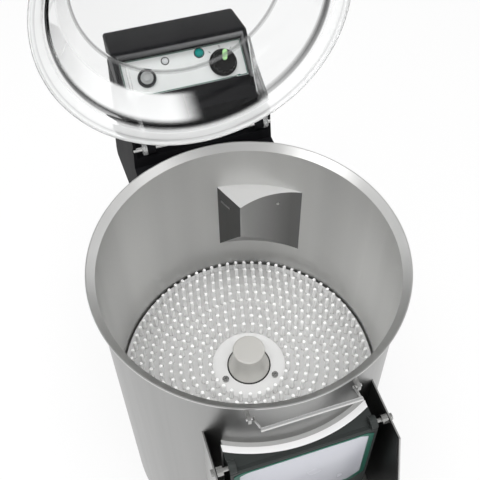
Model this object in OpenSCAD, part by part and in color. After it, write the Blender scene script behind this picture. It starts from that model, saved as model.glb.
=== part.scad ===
// Mussel cleaning machine: a stainless tub with a rotating bristled disc, a hinged clear lid,
// a discharge chute with a hinged door, and a belt drive under the tub.
// Millimetres, +Z up. Every module draws its piece about the tub's axis, with the floor that
// the machine stands on at z = 0 and the chute towards -Y, and in_frame() then moves it so that
// the middle of the footprint is at the origin. The lid is drawn open.

/* [Tub] */
// Inner radius of the tub
tub_r = 200.7; // [180:0.1:220]
// Sheet thickness of the tub wall
tub_wall = 1.5; // [1:0.1:3]
// How far the flared rim reaches out from the tub's inner face
rim_flare = 11.3; // [8:0.1:20]
// Height over which the rim flares
rim_drop = 9.4; // [6:0.1:14]
// Depth of the hem that is folded down at the rim's edge
rim_hem = 2; // [1:0.1:4]
// Height of the rim above the floor
rim_h = 560; // [520:1:620]
// Height of the tub's lower edge above the floor
skirt_h = 50; // [40:1:70]
// Height of the top face of the tub's inner floor
floor_h = 246; // [220:1:260]
// Sheet thickness of the tub's inner floor
floor_t = 2; // [1.5:0.1:4]

/* [Discharge door and chute] */
// Width of the discharge opening
open_w = 176; // [120:1:180]
// Height of the discharge opening
open_h = 170; // [120:1:175]
// Height of the opening's lower edge above the top of the disc
open_rise = -1; // [-4:0.5:10]
// Width of the seal frame round the discharge opening
seal_w = 7; // [4:0.5:8]
// Thickness of the seal between the tub wall and the door
seal_t = 6.2; // [3:0.1:8]
// Gap between the seal and the closed door
seal_gap = 0.4; // [0.2:0.1:1]
// Thickness of the curved door plate
door_t = 8.7; // [6:0.1:12]
// How far the door's flat front stands before its curved plate
door_lead = 9; // [7:0.5:18]
// Sheet thickness of the chute's cheeks
cheek_t = 2; // [1.5:0.1:4]
// Gap between the door and the inner face of a cheek
cheek_gap = 16.5; // [14:0.5:28]
// Height of the door's pivot above the door's top
pivot_rise = 5; // [4:0.5:8]
// How far the door's pivot stands before the curved plate
pivot_out = 0.5; // [0:0.1:3]
// Radius of the door's pivot bolts
pivot_r = 3; // [2:0.1:4]
// How far the chute reaches before the tub
chute_out = 87.8; // [75:0.1:120]
// Drop of the chute's floor from the tub to its front edge
chute_drop = 26; // [16:1:34]

/* [Brush disc] */
// Gap between the disc's edge and the tub
disc_gap = 3.2; // [2:0.1:6]
// Thickness of the disc
disc_t = 8; // [6:0.5:12]
// Height of the disc's top above the tub's inner floor
disc_rise = 23; // [20:0.5:30]
// Length of a bristle above the disc
bristle_h = 24; // [12:0.5:32]
// Width of a bristle across its corners
bristle_d = 6.4; // [4:0.1:7]
// Distance of the outermost ring of bristles from the disc's edge
bristle_edge = 13; // [9:0.5:20]
// Radius inside which the disc carries no bristles
bristle_free_r = 61; // [57:0.5:80]
// Distance between two rings of bristles
bristle_step = 15.35; // [14:0.05:20]
// Distance between two bristles along a ring
bristle_pitch = 14.1; // [13:0.1:20]
// Radius of the hub at its top
hub_top_r = 25; // [20:0.5:30]
// Radius of the hub where it meets the disc
hub_base_r = 33; // [30:0.5:38]
// Height of the hub above the disc
hub_h = 48; // [30:1:60]
// Radius of the circle of the disc's screws
disc_screw_ring_r = 45; // [42:0.5:52]

/* [Drive] */
// Radius of the drive shaft
shaft_r = 12.5; // [10:0.5:15]
// Outer radius of a shaft bearing
bearing_r = 26; // [22:0.5:30]
// Width of a shaft bearing
bearing_w = 15; // [10:0.5:18]
// Wall of the bearing housing's tube
housing_wall = 9; // [6:0.5:12]
// Gap between the large pulley and the bearing housing
housing_gap = 24; // [10:1:40]
// Pitch radius of the large pulley
large_pulley_r = 85; // [60:1:95]
// Pitch radius of the motor pulley
motor_pulley_r = 20; // [16:0.5:30]
// Height of the middle of the belt above the floor
belt_h = 92; // [88:1:100]
// Width of the belt at its outer face
belt_w = 13; // [10:0.5:14]
// Thickness of the belt
belt_t = 8; // [6:0.5:9]
// Distance of the motor's axis behind the tub
motor_out = 97.8; // [88:0.1:103]
// Radius of the motor's body
motor_r = 62; // [50:1:66]
// Length of the motor's body
motor_l = 175; // [120:1:190]

/* [Lid] */
// How far the lid's edge reaches past the tub's inner face
lid_over = 3.3; // [2:0.1:5]
// Thickness of the lid's moulding
lid_t = 3; // [2:0.1:4]
// Width of the lid's flange
lid_flange = 23; // [20:0.5:34]
// How far the lid's wall leans in from the flange to the shoulder
lid_lean = 15; // [10:0.5:24]
// Width of the lid's sloping shoulder
lid_slope = 20; // [12:0.5:30]
// Height of the shoulder above the rim
lid_shoulder_h = 61; // [50:0.5:70]
// Height of the flat top above the rim
lid_top_h = 91; // [80:0.5:98]
// Angle between the lid as drawn and the closed lid
lid_open = 91.5; // [60:0.5:92]
// Distance of the lid's hinge axis behind the tub
hinge_out = 12.8; // [12:0.1:15]
// Height of the lid's hinge axis above the rim
hinge_rise = 19.5; // [17:0.5:24]
// Radius of the lid's hinge pin
hinge_pin_r = 4; // [3:0.5:5]
// Radius of the eyes at the ends of the lid's arms
hinge_eye_r = 9.5; // [8:0.5:11]
// Thickness of the lid's arms
arm_t = 7; // [5:0.5:8]
// Position of the left arm along the hinge
arm_left_x = -87; // [-92:0.5:-80]
// Position of the right arm along the hinge
arm_right_x = 95; // [80:0.5:95]

/* [Lid bail] */
// Half the length of the bail's cross rod
bail_x = 59; // [40:1:70]
// Radius of the bail's cross rod
bail_rod_r = 2.5; // [2:0.1:4]
// Radius of the bail's arms
bail_arm_r = 1.6; // [1.2:0.1:2]
// Distance of the bail's pivot before the tub
bail_pivot_out = 4.8; // [4:0.1:10]
// Depth of the bail's pivot below the rim
bail_pivot_drop = 13; // [12:0.5:20]
// How far the cross rod stands in front of the pivot
bail_out = 23; // [18:0.5:28]
// How far the cross rod stands above the pivot
bail_up = 16; // [10:0.5:18]
// Angle through which the bail swings from its stop to the lid's catch
bail_swing = 62; // [55:1:64]

/* [Rear housing] */
// Half the width of the hood at its top
hood_top_x = 103.4; // [103:0.1:108]
// Half the width of the hood at its lower edge
hood_base_x = 113; // [109:0.5:118]
// How far the hood reaches behind the tub
hood_reach = 202.8; // [200:0.1:220]
// Depth of the hood's lower edge below the rim
hood_drop = 163; // [155:1:175]
// Depth below the rim at which the hood's slanted underside meets the tub
hood_lip_drop = 86; // [80:1:110]
// Height of the hood's top above the rim
hood_rise = 45; // [40:1:50]
// Wall thickness of the hood
hood_wall = 3.5; // [2.5:0.1:5]
// Half the width of the column below the hood
column_x = 88; // [80:0.5:92]
// How far the column's back lies inside the hood's
column_step = 15; // [8:0.5:20]
// Sheet thickness of the column
column_wall = 2; // [1.5:0.1:3]

/* [Control box] */
// Half the width of the control box
box_x = 103; // [100:0.5:106]
// Tilt of the control panel from the horizontal
panel_tilt = 37.9; // [30:0.1:45]
// Width of the control panel
panel_w = 186; // [180:0.5:188]
// Height of the control panel along its slope
panel_h = 56; // [54:0.5:60]
// Thickness of the control panel
panel_t = 1.5; // [1:0.1:2]
// Radius of the timer knob's skirt
knob_r = 21; // [16:0.5:24]
// Height of the timer knob
knob_h = 17; // [12:0.5:22]
// Depth of the timer behind the panel
timer_l = 24; // [18:1:36]
// Radius of the push button's ring
button_ring_r = 14; // [12:0.5:15]
// Radius of the push button's cap
button_r = 9.5; // [7:0.5:10]
// Travel of the push button
button_travel = 3.5; // [2:0.5:4]
// Radius of the pilot lamp's lens
pilot_r = 6.5; // [5:0.5:8]
// Radius of the small indicator lamp
led_r = 4.8; // [3:0.1:5]

/* [Base and connections] */
// Thickness of the base plate
base_t = 3; // [2:0.5:5]
// Radius of a foot where it meets the floor
foot_r = 20; // [15:0.5:25]
// Radius of the holes for bolting the machine down
anchor_r = 4.5; // [3:0.5:6]
// Distance between the holes for bolting the machine down
anchor_pitch = 220; // [180:1:240]
// Outer radius of the drain pipe
drain_r = 25; // [20:0.5:30]
// Wall of the drain pipe
drain_wall = 2; // [1.5:0.1:3]
// Outer radius of the water inlet's thread
inlet_r = 13.2; // [10:0.1:15]
// Length of the water inlet's thread
inlet_l = 15; // [10:0.5:20]
// Radius of the hole through the cable gland
gland_bore_r = 4.5; // [3:0.5:5]

/* [Hidden] */
$fn = 96;
tiny = 0.01;
slip = 0.05; // radial clearance of a pin or shaft that turns
fit = 0.3; // clearance between pieces that are set side by side

tub_out_r = tub_r + tub_wall;
rim_r = tub_r + rim_flare;
disc_r = tub_r - disc_gap;
disc_top = floor_h + disc_rise;
open_z = disc_top + open_rise;
seal_r = tub_out_r + seal_t;
door_in_r = seal_r + seal_gap;
door_out_r = door_in_r + door_t;
door_x = open_w / 2 + seal_w + 2;
door_top = open_z + open_h + seal_w + 2;
door_bottom = open_z - seal_w - 2;
door_front = door_out_r + door_lead;
pivot_y = door_out_r + pivot_out;
pivot_z = door_top + pivot_rise;
cheek_x = door_x + cheek_gap;
chute_reach = tub_out_r + chute_out;
ear_x = door_x;
ear_t = 9;
boss_r = 6.5;
chute_floor_back = door_bottom - 7;
chute_floor_front = chute_floor_back - chute_drop;
chute_lip = 8;
lid_r = tub_r + lid_over;
lid_wall_r = lid_r - lid_flange;
lid_shoulder_r = lid_wall_r - lid_lean;
lid_top_r = lid_shoulder_r - lid_slope;
hinge_y = tub_out_r + hinge_out;
hinge_z = rim_h + hinge_rise;
bail_pivot_y = tub_out_r + bail_pivot_out;
hood_back = tub_out_r + hood_reach;
column_back = hood_back - column_step;
column_top = rim_h - 80;
motor_y = tub_out_r + motor_out;
belt_gap = 0.3;
front_y = -chute_reach;
rear_y = hood_back + inlet_l;
box_z = rim_h + hood_rise;
box_front = hinge_y + 51;
box_back = hood_back - 2;
panel_y = box_front + 39;
panel_z = box_z + 27.9;

function arc(c, r, a0, a1, n = 6) = [for (i = [0 : n]) c + r * [cos(a0 + (a1 - a0) * i / n),
    sin(a0 + (a1 - a0) * i / n)]];
function wall_y(x, r) = sqrt(r * r - x * x);

// The middle of the footprint goes to the origin
module in_frame() {
    translate([0, -(front_y + rear_y) / 2, 0]) children();
}

// Turns an outline in (y, z) into a plate square to X, centred on x
module plate_x(x, t) {
    translate([x - t / 2, 0, 0]) rotate([90, 0, 90]) linear_extrude(t) children();
}

module rod_x(x0, x1, y, z, r) {
    translate([x0, y, z]) rotate([0, 90, 0]) cylinder(h = x1 - x0, r = r);
}

// Ring sector of the tub's curve, between two radii and two heights, over |x| < half
module curved_plate(r0, r1, half, z0, z1) {
    intersection() {
        translate([0, 0, z0]) difference() {
            cylinder(h = z1 - z0, r = r1);
            translate([0, 0, -1]) cylinder(h = z1 - z0 + 2, r = r0);
        }
        translate([-half, -r1 - 1, z0]) cube([2 * half, r1, z1 - z0]);
    }
}

// Tub

belt_slot_w = 140;
belt_slot_h = 48;
module tub() color("silver") in_frame() difference() {
    rotate_extrude() polygon([
        [tub_r, skirt_h], [tub_out_r, skirt_h], [tub_out_r, rim_h - rim_drop],
        [rim_r - tub_wall, rim_h - rim_hem], [rim_r, rim_h - rim_hem], [rim_r, rim_h],
        [rim_r - tub_wall, rim_h], [tub_r, rim_h - rim_drop]]);
    translate([-open_w / 2, -tub_out_r - 1, open_z]) cube([open_w, tub_r / 2, open_h]);
    translate([-belt_slot_w / 2, tub_r / 2, belt_h - belt_slot_h / 2]) cube([belt_slot_w, tub_r, belt_slot_h]);
    translate([drain_x, 0, drain_z]) rotate([-90, 0, 0]) cylinder(h = 2 * tub_r, r = sleeve_r);
    translate([spray_x, 0, spray_z]) rotate([-90, 0, 0]) cylinder(h = 2 * tub_r, r = spray_r + fit);
}

module tub_floor() color("silver") in_frame() difference() {
    rotate_extrude() polygon([
        [bearing_r + 4, floor_h - floor_t], [tub_r, floor_h - floor_t], [tub_r, floor_h + 12],
        [tub_r - floor_t, floor_h + 12], [tub_r - floor_t, floor_h + 2],
        [tub_r - floor_t - 2, floor_h], [bearing_r + 4, floor_h]]);
    translate([drain_x, drain_y, floor_h - 2 * floor_t]) cylinder(h = 4 * floor_t, r = drain_r - drain_wall);
}

// Deflector on the inner wall: a hollow sheet housing with a spray slot in its left face
deflector_drop = 84;
deflector_top = rim_h - deflector_drop;
deflector_depth = 47.6;
ridge_a = 76.8;
ridge_r = tub_r - deflector_depth;
ridge = ridge_r * [cos(ridge_a), sin(ridge_a)];
ridge_edge_h = 71;
wall_edge_h = 144;
ridge_low = deflector_top - ridge_edge_h;
wall_low = deflector_top - wall_edge_h;
deflector_sheet = 1.5;
deflector_a0 = 90 - 3.4;
deflector_a1 = 90 - 46.5;
deflector_left = (tub_r + 4) * [cos(deflector_a0), sin(deflector_a0)];
deflector_right = (tub_r + 4) * [cos(deflector_a1), sin(deflector_a1)];
dish_r = 117;
ridge_nose = 2;
dish_dir = (deflector_right - ridge) / norm(deflector_right - ridge);
dish_start = ridge + ridge_nose * dish_dir;
dish_mid = (dish_start + deflector_right) / 2;
dish_half = norm(deflector_right - dish_start) / 2;
dish_c = dish_mid - sqrt(dish_r * dish_r - dish_half * dish_half) * [-dish_dir[1], dish_dir[0]];

module deflector_outline(inset) {
    difference() {
        polygon([deflector_left, ridge, deflector_right, 1.3 * deflector_right, 1.3 * deflector_left]);
        translate(dish_c) circle(r = dish_r + inset, $fn = 180);
        if (inset > 0) {
            translate(deflector_left) rotate(atan2(ridge[1] - deflector_left[1], ridge[0] - deflector_left[0]))
                translate([-9, -inset]) square([12 + norm(ridge - deflector_left), 2 * inset]);
        }
    }
}

deflector_slope = (ridge_low - wall_low) / (tub_r - ridge_r);
ridge_reach = 20;
rivet_a = 82.9;
rivet_r = 1.6;

// The housing's room above its slanted underside, smaller by the sheet where inset is the sheet
module deflector_body(inset, out_r) {
    low = ridge_low + inset * norm([1, deflector_slope]);
    intersection() {
        translate([0, 0, wall_low - ridge_reach]) linear_extrude(deflector_top - wall_low + 2 * ridge_reach) {
            deflector_outline(inset);
        }
        rotate_extrude() polygon([
            [ridge_r - ridge_reach, low + ridge_reach * deflector_slope],
            [out_r, low - (out_r - ridge_r) * deflector_slope],
            [out_r, deflector_top - inset], [ridge_r - ridge_reach, deflector_top - inset]]);
    }
}

module at_rivet() {
    translate([dish_c[0], dish_c[1], deflector_top - 24]) rotate(rivet_a) translate([dish_r, 0, 0]) {
        rotate([0, -90, 0]) children();
    }
}

module deflector() color("gray") in_frame() difference() {
    deflector_body(0, tub_r);
    deflector_body(deflector_sheet, tub_r + 2);
    translate([ridge[0] - 16, ridge[1] + 33, deflector_top - 26]) rotate([0, 0, -66]) {
        cube([22, 12, 5], center = true);
    }
    at_rivet() translate([0, 0, -6]) cylinder(h = 12, r = rivet_r);
}

// The head lies off the hollow face by what that face rises under the head's edge
rivet_head_r = 3.4;
rivet_lift = 0.1;
module deflector_rivet() color("dimgray") in_frame() at_rivet() {
    translate([0, 0, -2 * deflector_sheet]) cylinder(h = 2 * deflector_sheet + rivet_lift, r = rivet_r);
    translate([0, 0, rivet_lift]) rotate_extrude() {
        polygon([[0, 0], [rivet_head_r, 0], [rivet_head_r - 0.2, 0.8], [rivet_head_r - 1.2, 1.7], [0, 2]]);
    }
}

// Discharge door and chute

module door_seal() color("black") in_frame() difference() {
    curved_plate(tub_out_r, seal_r, open_w / 2 + seal_w, open_z - seal_w, open_z + open_h + seal_w);
    translate([-open_w / 2, -tub_out_r * 1.2, open_z]) cube([open_w, tub_r, open_h]);
}

cheek_back = -wall_y(cheek_x, tub_out_r) + 8;
cheek_top = pivot_z + 6;
cheek_nose_y = pivot_y + 32;
cheek_bend_z = pivot_z - 80;
cheek_outline = [
    [cheek_back, cheek_top], [-cheek_nose_y, cheek_top], [-chute_reach + 14, cheek_bend_z],
    [-chute_reach, chute_floor_front + 34], [-chute_reach, chute_floor_front - chute_lip],
    [cheek_back, chute_floor_back - chute_lip]];

module cheek(side) {
    difference() {
        plate_x(side * (cheek_x + cheek_t / 2), cheek_t) polygon(cheek_outline);
        translate([0, 0, chute_floor_front - 20]) cylinder(h = rim_h, r = tub_out_r);
        rod_x(-2 * cheek_x, 2 * cheek_x, -pivot_y, pivot_z, pivot_r);
    }
}

module cheek_left() color("silver") in_frame() cheek(-1);
module cheek_right() color("silver") in_frame() cheek(1);

liner_t = 1.2;
module liner(side) {
    difference() {
        plate_x(side * (cheek_x - liner_t / 2), liner_t) polygon([
            [cheek_back, cheek_top - 1.5], [-cheek_nose_y + 2, cheek_top - 1.5],
            [-chute_reach + 18, cheek_bend_z], [-chute_reach + 4, chute_floor_front + 34],
            [-chute_reach + 4, chute_floor_front + 1.5], [cheek_back, chute_floor_back + 1.5]]);
        translate([0, 0, chute_floor_front - 20]) cylinder(h = rim_h, r = tub_out_r);
        rod_x(-2 * cheek_x, 2 * cheek_x, -pivot_y, pivot_z, pivot_r);
    }
}

module cheek_liner_left() color("black") in_frame() liner(-1);
module cheek_liner_right() color("black") in_frame() liner(1);

module chute_floor() color("silver") in_frame() difference() {
    plate_x(0, 2 * cheek_x) polygon([
        [-tub_out_r + 60, chute_floor_back], [-chute_reach, chute_floor_front],
        [-chute_reach, chute_floor_front - chute_lip], [-chute_reach + 1.5, chute_floor_front - chute_lip],
        [-chute_reach + 1.5, chute_floor_front - 1.5], [-tub_out_r + 60, chute_floor_back - 1.5]]);
    translate([0, 0, chute_floor_front - 20]) cylinder(h = rim_h, r = tub_out_r);
}

module door_plate() color("white") in_frame() {
    curved_plate(door_in_r, door_out_r, door_x, door_bottom, door_top);
}

module door_cover() color("darkslategray") in_frame() difference() {
    union() {
        intersection() {
            difference() {
                plate_x(0, 2 * door_x) polygon([
                    [-door_in_r / 2, door_top], [-door_out_r - 1, door_top], [-door_front + 2, door_top + 3],
                    [-door_front, door_top + 1], [-door_front, door_bottom + 14],
                    [-door_front + 8, door_bottom + 2], [-door_in_r / 2, door_bottom + 2]]);
                cylinder(h = rim_h, r = door_out_r);
            }
            translate([-door_x, -door_front - 10, 0]) cube([2 * door_x, door_front, rim_h]);
        }
        for (side = [-1, 1]) {
            rod_x(side * (ear_x - ear_t / 2) - ear_t / 2, side * (ear_x - ear_t / 2) + ear_t / 2, -pivot_y, pivot_z, 8.5);
        }
    }
    for (side = [-1, 1]) {
        rod_x(side * (ear_x - ear_t / 2) - ear_t / 2 - 2, side * (ear_x - ear_t / 2) + ear_t / 2 + 2, -pivot_y, pivot_z, pivot_r + slip);
    }
    intersection() {
        plate_x(0, 2 * door_x - 24) polygon([
            [-door_in_r / 2, door_top - 4], [-door_front + 3, door_top - 4], [-door_front + 3, door_bottom + 14],
            [-door_front + 9, door_bottom], [-door_in_r / 2, door_bottom]]);
        difference() {
            cylinder(h = rim_h, r = door_front * 1.2);
            cylinder(h = rim_h, r = door_out_r + 3);
        }
    }
}

label_t = 1;
label_x = door_x - 21;
label_low = door_top - 60;
module door_label() color("lavender") in_frame() {
    translate([0, -door_front, 0]) rotate([90, 0, 0]) linear_extrude(label_t) polygon([
        [-label_x + 10, door_top - 3], [label_x - 10, door_top - 3], [label_x, door_top - 8],
        [label_x, label_low + 16], [label_x - 16, label_low], [-label_x + 16, label_low],
        [-label_x, label_low + 16], [-label_x, door_top - 8]]);
}

module door_pivots() color("gainsboro") in_frame() {
    for (side = [-1, 1]) {
        mirror([side < 0 ? 1 : 0, 0, 0]) {
            rod_x(ear_x - ear_t + 1, cheek_x + cheek_t + 1, -pivot_y, pivot_z, pivot_r);
            rod_x(cheek_x - liner_t - 8, cheek_x - liner_t, -pivot_y, pivot_z, boss_r);
            rod_x(cheek_x + cheek_t, cheek_x + cheek_t + 3.5, -pivot_y, pivot_z, 4.5);
        }
    }
}

// Lid bail: a wire frame that swings up over the closed lid's catch

bail_pivot = [-bail_pivot_y, rim_h - bail_pivot_drop];
bail_rod = bail_pivot + [-bail_out, bail_up];
bail_flare = 3;
bail_pin_r = bail_arm_r + 0.2;
bracket_x = bail_x + bail_flare;
bracket_t = 4;

module wire(a, b, r) {
    d = b - a;
    translate(a) rotate([0, acos(d[2] / norm(d)), atan2(d[1], d[0])]) cylinder(h = norm(d), r = r);
}

module bail() color("gainsboro") in_frame() {
    rod_x(-bail_x - 2, bail_x + 2, bail_rod[0], bail_rod[1], bail_rod_r);
    for (side = [0, 1]) mirror([side, 0, 0]) {
        wire([bail_x, bail_rod[0], bail_rod[1]], [bracket_x, bail_pivot[0], bail_pivot[1]], bail_arm_r);
        rod_x(bracket_x - 1.9, bracket_x + 9, bail_pivot[0], bail_pivot[1], bail_pin_r);
    }
}

module bail_brackets() color("silver") in_frame() {
    for (side = [-1, 1]) mirror([side < 0 ? 1 : 0, 0, 0]) difference() {
        translate([bracket_x + 3, -bail_pivot_y - 4, bail_pivot[1] - 5]) {
            cube([bracket_t, bail_pivot_y + 10 - wall_y(bracket_x + 3 + bracket_t, tub_out_r), 9]);
        }
        translate([0, 0, 1]) cylinder(h = rim_h, r = tub_out_r);
        rod_x(bracket_x, bracket_x + 12, bail_pivot[0], bail_pivot[1], bail_pin_r + slip);
    }
}

// Brush disc

rib_in = 70;
rib_h = 7;
disc_screw_at = [78, 198, 318];
module brush_disc() color("white") in_frame() difference() {
    union() {
        rotate_extrude() polygon([
            [shaft_r, disc_top - disc_t], [disc_r, disc_top - disc_t], [disc_r, disc_top - 1],
            [disc_r - 1, disc_top], [shaft_r, disc_top]]);
        for (a = [0 : 60 : 300]) rotate(a) {
            translate([rib_in, -3, disc_top - disc_t - rib_h]) cube([disc_r - 10 - rib_in, 6, rib_h + tiny]);
        }
    }
    for (a = disc_screw_at) rotate(a) {
        translate([disc_screw_ring_r, 0, disc_top - disc_t - 1]) cylinder(h = disc_t + 2, r = 3);
    }
    translate([0, 0, disc_top - slice_t]) difference() {
        cylinder(h = slice_t + 1, r = slice_out + slice_fit);
        translate([0, 0, -1]) cylinder(h = slice_t + 3, r = slice_in - slice_fit);
    }
}

// The bristles stand on a ring-shaped slice that lies flush in the disc
bristle_ring_r = disc_r - bristle_edge;
bristle_rings = 1 + floor((bristle_ring_r - bristle_free_r) / bristle_step);
slice_t = 3;
slice_margin = 4;
slice_fit = 0.05;
slice_out = bristle_ring_r + slice_margin;
slice_in = bristle_ring_r - (bristle_rings - 1) * bristle_step - slice_margin;

module bristle() {
    translate([0, 0, slice_t / 2]) linear_extrude(slice_t / 2 + bristle_h, scale = 0.62) circle(d = bristle_d, $fn = 4);
}

module bristles() color("white") in_frame() translate([0, 0, disc_top - slice_t]) {
    resize([0, 0, slice_t + bristle_h]) {
        difference() {
            cylinder(h = slice_t, r = slice_out);
            translate([0, 0, -1]) cylinder(h = slice_t + 2, r = slice_in);
        }
        for (ring = [0 : bristle_rings - 1]) {
            ring_r = bristle_ring_r - ring * bristle_step;
            count = floor(2 * PI * ring_r / bristle_pitch);
            for (i = [0 : count - 1]) rotate((i + ring / 2) * 360 / count) translate([ring_r, 0, 0]) bristle();
        }
    }
}

carrier_r = 58;
carrier_t = 6;
module disc_carrier() color("darkgray") in_frame() difference() {
    union() {
        translate([0, 0, disc_top - disc_t - carrier_t]) cylinder(h = carrier_t, r = carrier_r);
        translate([0, 0, floor_h + 2]) cylinder(h = disc_rise - disc_t - 3, r = shaft_r + 8);
    }
    translate([0, 0, floor_h]) cylinder(h = disc_rise, r = shaft_r);
    for (a = disc_screw_at) rotate(a) {
        translate([disc_screw_ring_r, 0, disc_top - disc_t - carrier_t - 1]) cylinder(h = carrier_t + 2, r = 2.5);
    }
}

hub_bore = shaft_r + 5;
function flare(t) = hub_top_r + (hub_base_r - hub_top_r) * pow(t, 3);
module hub() color("silver") in_frame() rotate_extrude() polygon(concat(
    [[hub_bore, disc_top]],
    [for (i = [0 : 10]) [flare(1 - i / 10), disc_top + (hub_h - 2) * i / 10]],
    [[hub_top_r - 0.6, disc_top + hub_h - 0.6], [hub_top_r - 2, disc_top + hub_h]],
    [[0, disc_top + hub_h], [0, disc_top + hub_h - 4], [hub_bore, disc_top + hub_h - 4]]));

module disc_screws() color("silver") in_frame() {
    for (a = disc_screw_at) rotate(a) translate([disc_screw_ring_r, 0, disc_top]) difference() {
        union() {
            translate([0, 0, -disc_t - carrier_t]) cylinder(h = disc_t + carrier_t, r = 2.5);
            cylinder(h = 3.2, r = 5.2);
        }
        translate([0, 0, 1.2]) cylinder(h = 3, r = 2.6, $fn = 6);
    }
}

// Drive

pulley_w = belt_w + 9;
pulley_hub_l = belt_w + 14;
pulley_hub_top = pulley_hub_l - pulley_w / 2;
shaft_low = belt_h - 20;
module drive_shaft() color("lightsteelblue") in_frame() {
    translate([0, 0, shaft_low]) cylinder(h = disc_top + 4 - shaft_low, r = shaft_r);
    translate([0, 0, disc_top + 4]) cylinder(h = 18, r = shaft_r - 4);
}

module shaft_nut() color("silver") in_frame() translate([0, 0, disc_top + 4]) difference() {
    union() {
        cylinder(h = 2, r = shaft_r + 3);
        translate([0, 0, 2]) cylinder(h = 9, r = shaft_r + 1, $fn = 6);
    }
    translate([0, 0, -1]) cylinder(h = 14, r = shaft_r - 4);
}

housing_top = floor_h - floor_t;
housing_low = belt_h + pulley_hub_top + housing_gap;
housing_l = housing_top - housing_low;
seal_h = 8;
module bearing_housing() color("gray") in_frame() difference() {
    union() {
        translate([0, 0, housing_low]) cylinder(h = housing_l, r = bearing_r + housing_wall);
        translate([0, 0, housing_top - 8]) cylinder(h = 8, r = 62);
        translate([0, 0, housing_top - tiny]) cylinder(h = 8 + tiny, r = bearing_r + 4 - fit);
        for (a = [0 : 60 : 300]) rotate(a) {
            translate([bearing_r + 4, -3, housing_top - 45]) cube([22, 6, 38]);
        }
    }
    translate([0, 0, housing_low - 1]) cylinder(h = bearing_w + 3, r = bearing_r);
    translate([0, 0, housing_low]) cylinder(h = housing_l + 20, r = bearing_r - 4);
    translate([0, 0, housing_top - 6 - bearing_w]) cylinder(h = 60, r = bearing_r);
}

module bearings() color("lightgray") in_frame() {
    for (z = [housing_low + 2, housing_top - 6 - bearing_w]) translate([0, 0, z]) difference() {
        cylinder(h = bearing_w, r = bearing_r);
        translate([0, 0, -1]) cylinder(h = bearing_w + 2, r = shaft_r + slip);
    }
}

module shaft_seal() color("black") in_frame() translate([0, 0, housing_top - 5]) difference() {
    cylinder(h = seal_h, r = bearing_r);
    translate([0, 0, -1]) cylinder(h = seal_h + 2, r = shaft_r + slip);
}

// Half width of the belt's groove at a depth below the belt's outer face
groove_slope = tan(18);
module pulley(pitch_r, width, bore_r, hub_r, hub_l) {
    rim = pitch_r + belt_t / 2;
    deep = belt_t + 2;
    difference() {
        union() {
            translate([0, 0, -width / 2]) cylinder(h = width, r = rim);
            translate([0, 0, -width / 2]) cylinder(h = hub_l, r = hub_r);
        }
        rotate_extrude() polygon([
            [rim + 1, belt_w / 2 + belt_gap + groove_slope], [rim + 1, -belt_w / 2 - belt_gap - groove_slope],
            [rim - deep, -belt_w / 2 - belt_gap + deep * groove_slope],
            [rim - deep, belt_w / 2 + belt_gap - deep * groove_slope]]);
        translate([0, 0, -width]) cylinder(h = hub_l + 2 * width, r = bore_r);
    }
}

module large_pulley() color("darkgray") in_frame() translate([0, 0, belt_h]) difference() {
    pulley(large_pulley_r, pulley_w, shaft_r, shaft_r + 10, pulley_hub_l);
    for (a = [0 : 72 : 288]) rotate(a) {
        translate([(large_pulley_r + shaft_r) / 2, 0, -belt_w]) cylinder(h = 2 * belt_w, r = (large_pulley_r - shaft_r) / 4);
    }
}

module motor_pulley() color("darkgray") in_frame() translate([0, motor_y, belt_h]) {
    pulley(motor_pulley_r, pulley_w, motor_shaft_r, 2 * motor_shaft_r, pulley_hub_l);
}

module belt_section() {
    polygon([
        [-belt_t / 2, -belt_w / 2 + belt_t * groove_slope], [belt_t / 2, -belt_w / 2],
        [belt_t / 2, belt_w / 2], [-belt_t / 2, belt_w / 2 - belt_t * groove_slope]]);
}

belt_lean = asin((large_pulley_r - motor_pulley_r) / motor_y);
belt_run = motor_y * cos(belt_lean);
module drive_belt() color("black") in_frame() translate([0, 0, belt_h]) {
    rotate(180 - belt_lean) rotate_extrude(angle = 180 + 2 * belt_lean)
        translate([large_pulley_r, 0]) belt_section();
    translate([0, motor_y, 0]) rotate(belt_lean) rotate_extrude(angle = 180 - 2 * belt_lean)
        translate([motor_pulley_r, 0]) belt_section();
    for (side = [0, 1]) mirror([side, 0, 0]) rotate(belt_lean) translate([large_pulley_r, -tiny, 0]) {
        rotate([-90, 0, 0]) linear_extrude(belt_run + 2 * tiny) mirror([0, 1]) belt_section();
    }
}

motor_base = belt_h + 30;
motor_shaft_r = 7;
module motor_shaft() color("lightsteelblue") in_frame() {
    translate([0, motor_y, belt_h - 16]) cylinder(h = motor_base + motor_l + 22 - belt_h, r = motor_shaft_r);
}

module motor() color("steelblue") in_frame() translate([0, motor_y, motor_base + 4]) difference() {
    union() {
        cylinder(h = motor_l, r = motor_r - 4);
        cylinder(h = 12, r = motor_r);
        translate([0, 0, motor_l - 34]) cylinder(h = 34, r = motor_r);
        for (a = [0 : 15 : 345]) rotate(a) {
            translate([motor_r - 5, -1.2, 6]) cube([5, 2.4, motor_l - 20]);
        }
        translate([-25, -motor_r - 14, 60]) cube([50, 30, 60]);
    }
    translate([0, 0, -1]) cylinder(h = motor_l + 2, r = motor_shaft_r + slip);
}

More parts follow.
